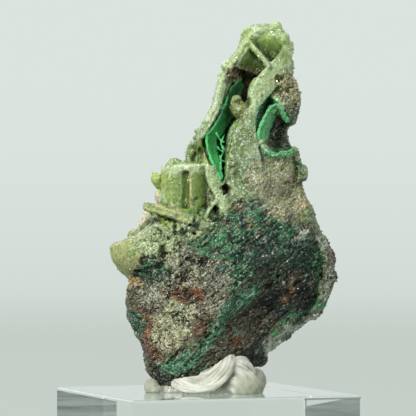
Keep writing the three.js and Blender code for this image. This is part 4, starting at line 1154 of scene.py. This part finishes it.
# A shape to scatter, which isn't seen itself.
def hiddenShape(name, bm):
    shape = newObject(name, meshOf(name, bm))
    shape.hide_render = True
    return shape


# A quartz point: a six-sided stub with a pyramid on it, sunk into what it grows from.
def crystalShape(radius, stub, tip):
    bm = bmesh.new()
    bmesh.ops.create_cone(bm, segments=6, radius1=radius, radius2=radius * 0.96, depth=stub, cap_ends=True)
    top = max(bm.faces, key=lambda face: face.calc_center_median().z)
    peak = bm.verts.new((0, 0, stub / 2 + tip))
    for edge in top.edges:
        bm.faces.new((*edge.verts, peak))
    bmesh.ops.recalc_face_normals(bm, faces=bm.faces)
    return hiddenShape("crystalShape", bm)


# A slim point without a stub.
def pointShape(name, sides, radius, top, length):
    bm = bmesh.new()
    bmesh.ops.create_cone(bm, segments=sides, radius1=radius, radius2=top, depth=length, cap_ends=True)
    return hiddenShape(name, bm)


def grainShape(radius):
    bm = bmesh.new()
    bmesh.ops.create_icosphere(bm, subdivisions=1, radius=radius)
    dice = random.Random(3)
    for vert in bm.verts:
        vert.co *= dice.uniform(0.75, 1.2)
    return hiddenShape("grainShape", bm)


growths = {
    "druseCoarse": {
        "grows": "crystals", "apart": 0.6, "density": 3.0, "tilt": 0.8, "sizes": (0.5, 1.2), "seed": 1,
    },
    "druseFine": {
        "grows": "crystals", "apart": 0.34, "density": 8.0, "tilt": 0.9, "sizes": (0.5, 1.1), "seed": 2,
    },
    "druseTips": {
        "grows": "tips", "apart": 0.24, "density": 11.0, "tilt": 1.0, "sizes": (0.45, 1.1), "seed": 5,
    },
    "creamGrains": {
        "grows": "grains", "apart": 0.22, "density": 22.0, "tilt": 0.6, "sizes": (0.4, 1.3), "seed": 3,
    },
    "velvetNeedles": {
        "grows": "fuzz", "apart": 0.2, "density": 30.0, "tilt": 0.9, "sizes": (0.5, 1.3), "seed": 4,
    },
}


def finishPiece(thing, material, slot, *nodes):
    thing.data.transform(toPart)
    movePoints(thing.data, np.clip(pointsOf(thing.data), *cadBox))  # no tip stands outside the CAD box
    thing.data.materials.clear()
    thing.data.materials.append(material)
    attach(thing, "root")
    if nodes:
        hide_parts(*nodes)


def makeStone():
    stone = stoneShape(stoneBuild)
    stone.name = "stone_skin"
    s = skinSettings
    skin = roughenStone(stone.data, s)
    clumpGrains(stone.data, skin, *s["clumps"])
    storeSkin(stone.data, skin, creviceOf(stone.data, s["gaps"]), s["tipHeights"])
    triangles = sum(len(polygon.vertices) - 2 for polygon in stone.data.polygons)
    if triangles > stoneBuild["triangles"]:
        addModifier(stone, "DECIMATE", ratio=stoneBuild["triangles"] / triangles)
        bakedMesh(stone)
    print("stone roughened:", len(stone.data.polygons), "faces")

    coarse = crystalShape(0.22, 0.16, 0.2)
    fine = pointShape("pointShape", 5, 0.15, 0, 0.2)
    grain = grainShape(0.17)
    needle = pointShape("needleShape", 4, 0.05, 0.01, 0.7)
    quartz = crystalMaterial()
    grown = {
        "druseCoarse": (coarse, quartz),
        "druseFine": (fine, quartz),
        "druseTips": (fine, quartz),
        "creamGrains": (grain, grainMaterial()),
        "velvetNeedles": (needle, fuzzMaterial()),
    }
    for name, (shape, material) in grown.items():
        made = scattered(name, stone.data, shape, growths[name])
        finishPiece(made, material, "stone")
    for shape in (coarse, fine, grain, needle):
        bpy.data.objects.remove(shape)
    finishPiece(stone, skinMaterial("drusySkin", skinFinishes["druse"]), "stone", "specimen")
    stone.data.materials.append(skinMaterial("rockSkin", skinFinishes["rock"]))
    finishRock(stone.data)


# Faces of rock take the second material. Only the few smooth minerals are shaded smooth.
def finishRock(mesh):
    corners = readOut(mesh.loops, "vertex_index", kind=np.int32)
    firstCorners = corners[readOut(mesh.polygons, "loop_start", kind=np.int32)]

    def onFaces(name):
        return readOut(mesh.attributes[name].data, "value", kind=np.float32)[firstCorners]

    rock = onFaces("rock") > 0.5
    mesh.polygons.foreach_set("material_index", rock.astype(np.int32))
    mesh.polygons.foreach_set("use_smooth", ~rock & (onFaces("crystals") < 0.3))


makeStone()


# Malachite sheets in the hollows

malachiteSheets = {
    "malachite_left": {
        "node": "malachite_left_cleft",
        # painted light and shade, dark above and lit below and along its front edge: (z, y)
        "paintedLight": (59, 54), "edge": 0.12, "dusted": 0,
        "front": ((54, -8.4), (58.2, -7.3), (62.6, -5.9), (66.4, -3.8)),
        "blades": [
            sheet(0.45, 0.3,
                [(7.4, -3.8, 66.4), (5.5, -4.9, 64.6), (4.6, -5.9, 62.6), (3.9, -6.7, 60.4),
                 (2.9, -7.3, 58.2), (1.1, -8, 55.4), (0, -8.5, 54.4)],
                [(8, -1.2, 65.2), (7.3, -1.3, 63.2), (6.4, -1.5, 61.2), (5.5, -1.7, 59), (4.6, -2.2, 56.9),
                 (3.4, -3, 54.8), (2.6, -3.4, 53.6)]),
            sheet(0.45, 0.3,
                [(0.2, -8.2, 54.8), (0.1, -8.5, 53), (0.5, -8.7, 51), (1.2, -9, 49), (2.1, -9.4, 47),
                 (3.2, -9.8, 45)],
                [(2.2, -4, 54.6), (2.1, -4.2, 52.8), (2.3, -4.8, 51), (2.7, -6, 49.2), (3.1, -7.4, 47.4),
                 (3.6, -8.8, 45.4)]),
            sheet(0.3, 0,
                [(4, -6.2, 66), (3.4, -6.8, 62.6), (3.1, -7.2, 59)],
                [(4.3, -4.6, 66), (3.8, -5, 62.6), (3.5, -5.6, 59)]),
            sheet(0.16, 0,
                [(2.1, -8.8, 54.9), (3, -8.9, 53.4), (3.9, -9, 52.9)],
                [(2.2, -8.4, 54.8), (3, -8.5, 53.2), (3.8, -8.6, 52.7)]),
            sheet(0.2, 0,
                [(3.9, -8.9, 54.6), (3.1, -9, 52.6), (3.6, -9.1, 51.2), (3, -9.3, 49.4), (3.1, -9.6, 47)],
                [(4, -8.5, 54.5), (3.3, -8.6, 52.6), (3.8, -8.7, 51.2), (3.3, -8.9, 49.4),
                 (3.3, -9.2, 47)]),
            sheet(0.16, 0,
                [(2.4, -8.8, 52), (3.2, -9, 51), (4, -9.1, 51.4)],
                [(2.4, -8.4, 51.8), (3.2, -8.6, 50.8), (4, -8.7, 51.2)]),
            sheet(0.16, 0,
                [(2.6, -8.9, 50.4), (3.3, -9.1, 49.2), (3.9, -9.2, 48.8)],
                [(2.6, -8.5, 50.2), (3.3, -8.7, 49), (3.9, -8.8, 48.6)]),
        ],
    },
    "malachite_right": {
        "node": "malachite_right_hollow",
        # painted light and shade, as on the left sheet
        "paintedLight": (67, 46), "edge": 0.1, "dusted": 1,
        "front": ((52, -8.6), (61, -7.6)),
        "blades": [
            sheet(0.5, -0.1,
                [(11.1, -8.2, 52.2), (10.9, -8.6, 54.4), (11.8, -8.5, 57), (12.6, -8.2, 58.8),
                 (13.6, -7.9, 60.2), (14.6, -7.6, 60.9)],
                [(12.3, -7.2, 52), (12.3, -7.4, 54.2), (13.2, -7.2, 56.8), (13.9, -7, 58.4),
                 (14.7, -6.8, 59.6), (15.4, -6.6, 60)]),
            sheet(0.4, 0,
                [(12.2, -7.4, 53.2), (12.6, -7.2, 55.2), (13.4, -7, 57), (14.2, -6.8, 58.6)],
                [(12.8, -3.8, 53.2), (13.2, -3.6, 55.2), (13.8, -3.6, 57), (14.6, -3.8, 58.4)]),
            sheet(0.4, 0,
                [(14.6, -7.6, 60.9), (15.6, -7.6, 60.2), (16.5, -7.3, 58.9), (17.5, -6.6, 57.3)],
                [(14.8, -4, 59.8), (15.6, -4, 59), (16.3, -4.6, 58), (17.3, -5.6, 57.1)]),
        ],
    },
}

malachiteBuild = {
    "voxel": 0.14,
    "smoothing": 1,
    "grid": (8, 24),
    "grain": (0.4, 0.12),  # how wide and how high the unevenness is, on its face and along its edges
    "edge": (1.1, 0.24),
    "bead": (0.5, 0.14),
}


def velvetMaterial():
    f = Finish("malachiteVelvet")
    place = f.place()
    cloud = f.noise(place, 1.2, 3, 0.6)
    fibres = f.noise(f.slanted(place, (0, 0.35, 0), (0.6, 1.0, 3.0)), 0.3, 3, 0.7)
    luck = f.channel(f.cells(place, 0.26))
    # The painted light lifts the colour towards the light green.
    mixing = 0.4 * cloud + 0.35 * luck + 0.6 * fibres + 0.45 * f.number("paintedLight")
    colour = f.mix(f.step(mixing, 0.45, 1.2), paint(8, 62, 30), paint(88, 214, 122))
    dusted = f.step(f.noise(place, 0.26, 3, 0.7) + 0.15 * f.number("dusted"), 0.65, 0.72)
    colour = f.mix(dusted * 0.8, colour, paint(176, 226, 186))
    return f.finish(colour, 0.55 + 0.2 * cloud, {
        "Sheen Weight": 0.3,
        "Sheen Roughness": 0.4,
        "Sheen Tint": paint(150, 230, 170),
        "Normal": f.bump(f.noise(place, 0.16, 3, 0.7) + fibres, 1.0, 0.00015),
    })


def makeMalachite(name, s, build, material):
    bm = bmesh.new()
    for blade in s["blades"]:
        addSheet(bm, blade, *build["grid"])
    piece = newObject(name, meshOf(name, bm))
    mesh = remeshed(piece, build["voxel"], build["smoothing"])
    points = pointsOf(mesh)
    (grainSize, grain), (edgeSize, edge), (beadSize, bead) = (build[key] for key in ("grain", "edge", "bead"))
    lift = smoothField(points, grainSize, 4) * grain
    lift += smoothField(points, edgeSize, 9) * edge
    lift += beadField(points, beadSize, 3) * bead * (0.4 + s["dusted"])
    movePoints(mesh, points + normalsOf(mesh) * lift[:, None])
    # Painted light and shade: lit towards the bottom and along the front edge, dim higher up.
    fromFront = points[:, 1] - np.interp(points[:, 2], *zip(*s["front"]))
    paintedLight = smoothStep(*s["paintedLight"], points[:, 2]) + s["edge"] * smoothStep(0.9, 0.2, fromFront)
    storeNumber(mesh, "paintedLight", paintedLight)
    storeNumber(mesh, "dusted", np.full(len(points), s["dusted"]))
    mesh.polygons.foreach_set("use_smooth", [s["dusted"] == 0] * len(mesh.polygons))
    print(name + ":", len(mesh.polygons), "faces")
    finishPiece(piece, material, "malachite", s["node"])


velvet = velvetMaterial()
for name, s in malachiteSheets.items():
    makeMalachite(name, s, malachiteBuild, velvet)


# Putty

# Middle, half sizes and turn.
puttyLobes = [
    (2.4, -1.8, 0.8, 9.6, 8.4, 2.2, 0), (-7.6, -2.6, 0.4, 4.6, 3.6, 1.1, 0),
    (-11.5, -4.4, 1, 1.6, 3, 1.9, 8), (-10.6, -5.6, 0.6, 1.8, 2.2, 0.9, 0),
    (-0.6, -9.6, 0.4, 4.6, 2.8, 1.6, 0), (8, -8.2, 1.6, 4.4, 4.4, 3.2, 6),
    (6.8, -8.2, 4.8, 2.6, 2.2, 2.6, 20), (10.4, -3.4, 2.2, 2.4, 6, 2.8, 0),
    (1, 6.2, 2.4, 8.6, 4.4, 3.8, 0),
]

# The swept front lobe, the fold over its notch and the flap at its top.
puttySheets = {
    "crescent": sheet(1.3, -0.9,
        [(-6.7, -9.4, 1.3), (-4.4, -11.8, 0.5), (-1.4, -12.8, 0.4), (1.6, -12.8, 0.9), (3.5, -12.2, 2.2),
         (4.7, -11.4, 3.9), (5.3, -10.4, 5.6)],
        [(-6.5, -8.8, 2.2), (-4.2, -9.6, 2.8), (-2, -10, 3.2), (0.4, -10, 3.8), (2.2, -9.8, 5.2),
         (4, -9.4, 6.8), (6, -8.8, 7.8)]),
    "fold": sheet(0.8, 0,
        [(-0.6, -10.9, 2.8), (1.8, -11, 4), (4.2, -10.4, 5.8)],
        [(-1.4, -9.4, 4.3), (1.6, -9.2, 5.8), (4.4, -8.6, 7.5)]),
    "flap": sheet(1.2, -0.3,
        [(5.2, -10, 4.8), (5.6, -9.8, 6.4), (6.2, -9.2, 7.9)],
        [(11, -7.8, 4.3), (9.6, -7.8, 6.2), (8.2, -8, 7.9)]),
}

puttyBuild = {
    "voxel": 0.24, "smoothing": 2, "lowest": 0.02, "swell": (2.6, 0.25), "lump": (1.1, 0.12),
    "streak": (0.4, 0.12), "frontTurn": (-2.0, 9.0, 9.0), "sideTurn": (4.2, -1.5),
}


def makePutty(lobes, s):
    bm = bmesh.new()
    for px, py, pz, rx, ry, rz, turn in lobes:
        addLump(bm, (px, py, pz), (rx, ry, rz), turn)
    for form in puttySheets.values():
        addSheet(bm, form)
    piece = newObject("putty_pressed", meshOf("putty_pressed", bm))
    mesh = remeshed(piece, s["voxel"], s["smoothing"])
    points = pointsOf(mesh)
    x, y, z = points.T
    lift = sum(smoothField(points, size, 6) * height for size, height in (s["swell"], s["lump"]))
    (frontX, frontZ, reach), (sideX, sideZ) = s["frontTurn"], s["sideTurn"]
    fromFront = np.hypot(x - frontX, z - frontZ)
    fromSide = np.hypot(x - sideX, z - sideZ)
    turned = np.where(fromFront < reach, fromFront, fromSide)  # finger streaks run round these two middles
    size, height = s["streak"]
    streaks = smoothField(np.stack([turned, 0.12 * x, 0.12 * z], axis=1), size, 8)
    points = points + normalsOf(mesh) * (lift + streaks * height)[:, None]
    points[:, 2] = np.maximum(points[:, 2], s["lowest"])
    movePoints(mesh, points)
    storeNumber(mesh, "streaks", streaks)
    # Painted shade: the putty's right side under the stone, and its left end, are greyed in the colour.
    shadedRight = smoothStep(5.2, 7.0, x) * smoothStep(5.0, 3.0, z)
    storeNumber(mesh, "paintedShade", np.maximum(shadedRight, smoothStep(-9.0, -10.0, x)))
    mesh.polygons.foreach_set("use_smooth", [True] * len(mesh.polygons))
    print("putty:", len(mesh.polygons), "faces")
    finishPiece(piece, puttyMaterial(), "putty", "putty")


def puttyMaterial():
    f = Finish("mountingPutty")
    place = f.place()
    smear = f.noise(place, 0.4, 5, 0.75)
    cloud = f.noise(place, 3.0, 3, 0.6)
    mixing = f.step(0.5 * f.number("streaks") + 0.6 * smear + 0.45 * cloud, 0.14, 0.76)
    colour = f.mix(mixing, paint(176, 179, 156), paint(250, 252, 238))
    # Painted shade on the right side and the left end.
    colour = f.mix(f.number("paintedShade") * 0.75, colour, paint(172, 178, 154))
    return f.finish(colour, 0.55 + 0.25 * smear, {"Normal": f.bump(smear, 1.0, 0.00045)})


makePutty(puttyLobes, puttyBuild)


# Acrylic block

blockSettings = {"bevel": 0.0007, "segments": 3, "ior": 1.49}


def makeBlock(s):
    low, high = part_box("acrylic_block")
    bm = bmesh.new()
    size = Matrix.Diagonal((*(high - low), 1))
    bmesh.ops.create_cube(bm, size=1, matrix=Matrix.Translation((low + high) / 2) @ size)
    bmesh.ops.bevel(bm, geom=bm.edges[:], offset=s["bevel"], segments=s["segments"], profile=0.5,
                    affect="EDGES", material=-1)
    block = newObject("clear_block", meshOf("clear_block", bm))
    block.data.materials.append(acrylicMaterial(s))
    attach(block, "root")
    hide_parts("acrylic_block")


def acrylicMaterial(s):
    f = Finish("polishedAcrylic")
    wear = f.noise(f.place(), 9.0, 4, 0.6)
    return f.finish((0.97, 0.985, 0.98, 1), 0.015 * wear, {"IOR": s["ior"], "Transmission Weight": 1.0})


makeBlock(blockSettings)


# Stage and light

stageSettings = {
    "floor": 1.5,  # radius of the flat floor, in metres
    "sweep": 0.7,
    "wall": 2.4,
    "steps": 96,
    "colour": (90, 93, 91),
    "low": (184, 194, 186),  # the glow of the near floor, and of the wall
    "high": (216, 224, 219),
    "near": 100,  # how far out the glow begins to change, and where it ends, in millimetres
    "far": 2500,
}


def glowing(colour):
    return {"Specular IOR Level": 0.0, "Emission Color": colour, "Emission Strength": 1.0}


def makeStage(s):
    bm = bmesh.new()
    profile = [Vector((0.0001, 0, 0)), Vector((s["floor"], 0, 0))]
    for i in range(1, 13):
        angle = math.radians(i * 7.5)
        out, up = s["sweep"] * math.sin(angle), s["sweep"] * (1 - math.cos(angle))
        profile.append(Vector((s["floor"] + out, 0, up)))
    profile.append(Vector((s["floor"] + s["sweep"], 0, s["wall"])))
    verts = [bm.verts.new(point) for point in profile]
    edges = [bm.edges.new(pair) for pair in zip(verts, verts[1:])]
    bmesh.ops.spin(bm, geom=verts + edges, cent=(0, 0, 0), axis=(0, 0, 1), angle=2 * math.pi,
                   steps=s["steps"], use_merge=True)
    bmesh.ops.recalc_face_normals(bm, faces=bm.faces)
    if sum(face.normal.z for face in bm.faces) < 0:
        bmesh.ops.reverse_faces(bm, faces=bm.faces)
    for face in bm.faces:
        face.smooth = True
    stage = newObject("stage", meshOf("stage", bm))
    f = Finish("paleStage")
    place = f.place()
    height = f.node("SeparateXYZ", {}, {0: place}, 2)
    away = f.vector("LENGTH", f.vector("MULTIPLY", place, (1, 1, 0)), output="Value")
    glow = f.mix(f.step(away + 3 * height, s["near"], s["far"]), paint(*s["low"]), paint(*s["high"]))
    stage.data.materials.append(f.finish(paint(*s["colour"]), 0.9, glowing(glow)))
    stage.visible_shadow = False
    stage.visible_diffuse = False


makeStage(stageSettings)

# Dark cards that only the acrylic block sees, lying on the floor: where its side faces send their light.
cards = {
    "cardRight": {"angle": -49, "near": 0.07, "far": 0.9, "width": 0.26, "shade": (60, 74, 70)},
    "cardLeft": {"angle": 131, "near": 0.07, "far": 0.9, "width": 0.26, "shade": (108, 120, 114)},
}


def makeCard(name, s):
    length = s["far"] - s["near"]
    bm = bmesh.new()
    place = Matrix.Rotation(math.radians(s["angle"]), 4, "Z") @ Matrix.Translation(
        (s["near"] + length / 2, 0, 0.0015))
    bmesh.ops.create_grid(bm, x_segments=1, y_segments=1, size=0.5,
                          matrix=place @ Matrix.Diagonal((length, s["width"], 1, 1)))
    card = newObject(name, meshOf(name, bm))
    f = Finish(name)
    streaks = f.noise(f.place(), 26.0, 3, 0.6)
    glow = f.mix(f.step(streaks, 0.3, 0.7), paint(*s["shade"]), paint(144, 156, 149))
    card.data.materials.append(f.finish(paint(0, 0, 0), 0.5, glowing(glow)))
    for ray in ("camera", "diffuse", "glossy", "shadow", "volume_scatter"):
        setattr(card, "visible_" + ray, False)


for name, s in cards.items():
    makeCard(name, s)

lights = {
    "key": {"place": (-420, -520, 420), "size": 0.34, "power": 3.45, "colour": (255, 253, 248)},
    "fill": {"place": (520, -420, 120), "size": 0.6, "power": 0.25, "colour": (240, 248, 255)},
    "top": {"place": (60, 60, 640), "size": 0.5, "power": 1.2, "colour": (255, 255, 255)},
    "spark": {"place": (-160, -560, 260), "size": 0.05, "power": 0.8, "colour": (255, 255, 255)},
    "sparkLeft": {"place": (-560, -360, 260), "size": 0.05, "power": 0.8, "colour": (255, 255, 255)},
    "sparkHigh": {"place": (-300, -420, 560), "size": 0.05, "power": 0.8, "colour": (255, 255, 255)},
    "back": {"place": (-260, 560, 320), "size": 0.5, "power": 0.6, "colour": (250, 252, 255)},
    "side": {"place": (560, 260, 200), "size": 0.5, "power": 0.6, "colour": (250, 252, 255)},
    "sparkRight": {"place": (200, -560, 360), "size": 0.05, "power": 0.35, "colour": (255, 255, 255)},
}


def makeLight(name, s):
    data = bpy.data.lights.new(name, "AREA")
    data.shape = "DISK"
    data.size = s["size"]
    data.energy = s["power"]
    data.color = paint(*s["colour"])[:3]
    light = bpy.data.objects.new(name, data)
    scene.collection.objects.link(light)
    light.location = toPart @ Vector(s["place"])
    aim = toPart @ Vector((0, 0, 38))
    light.rotation_mode = "QUATERNION"
    light.rotation_quaternion = (aim - light.location).to_track_quat("-Z", "Y")


for name, s in lights.items():
    makeLight(name, s)

world = bpy.data.worlds.new("room")
scene.world = world
world.use_nodes = True
world.node_tree.nodes["Background"].inputs["Color"].default_value = paint(232, 238, 236)
world.node_tree.nodes["Background"].inputs["Strength"].default_value = 0.18
scene.view_settings.view_transform = "Standard"
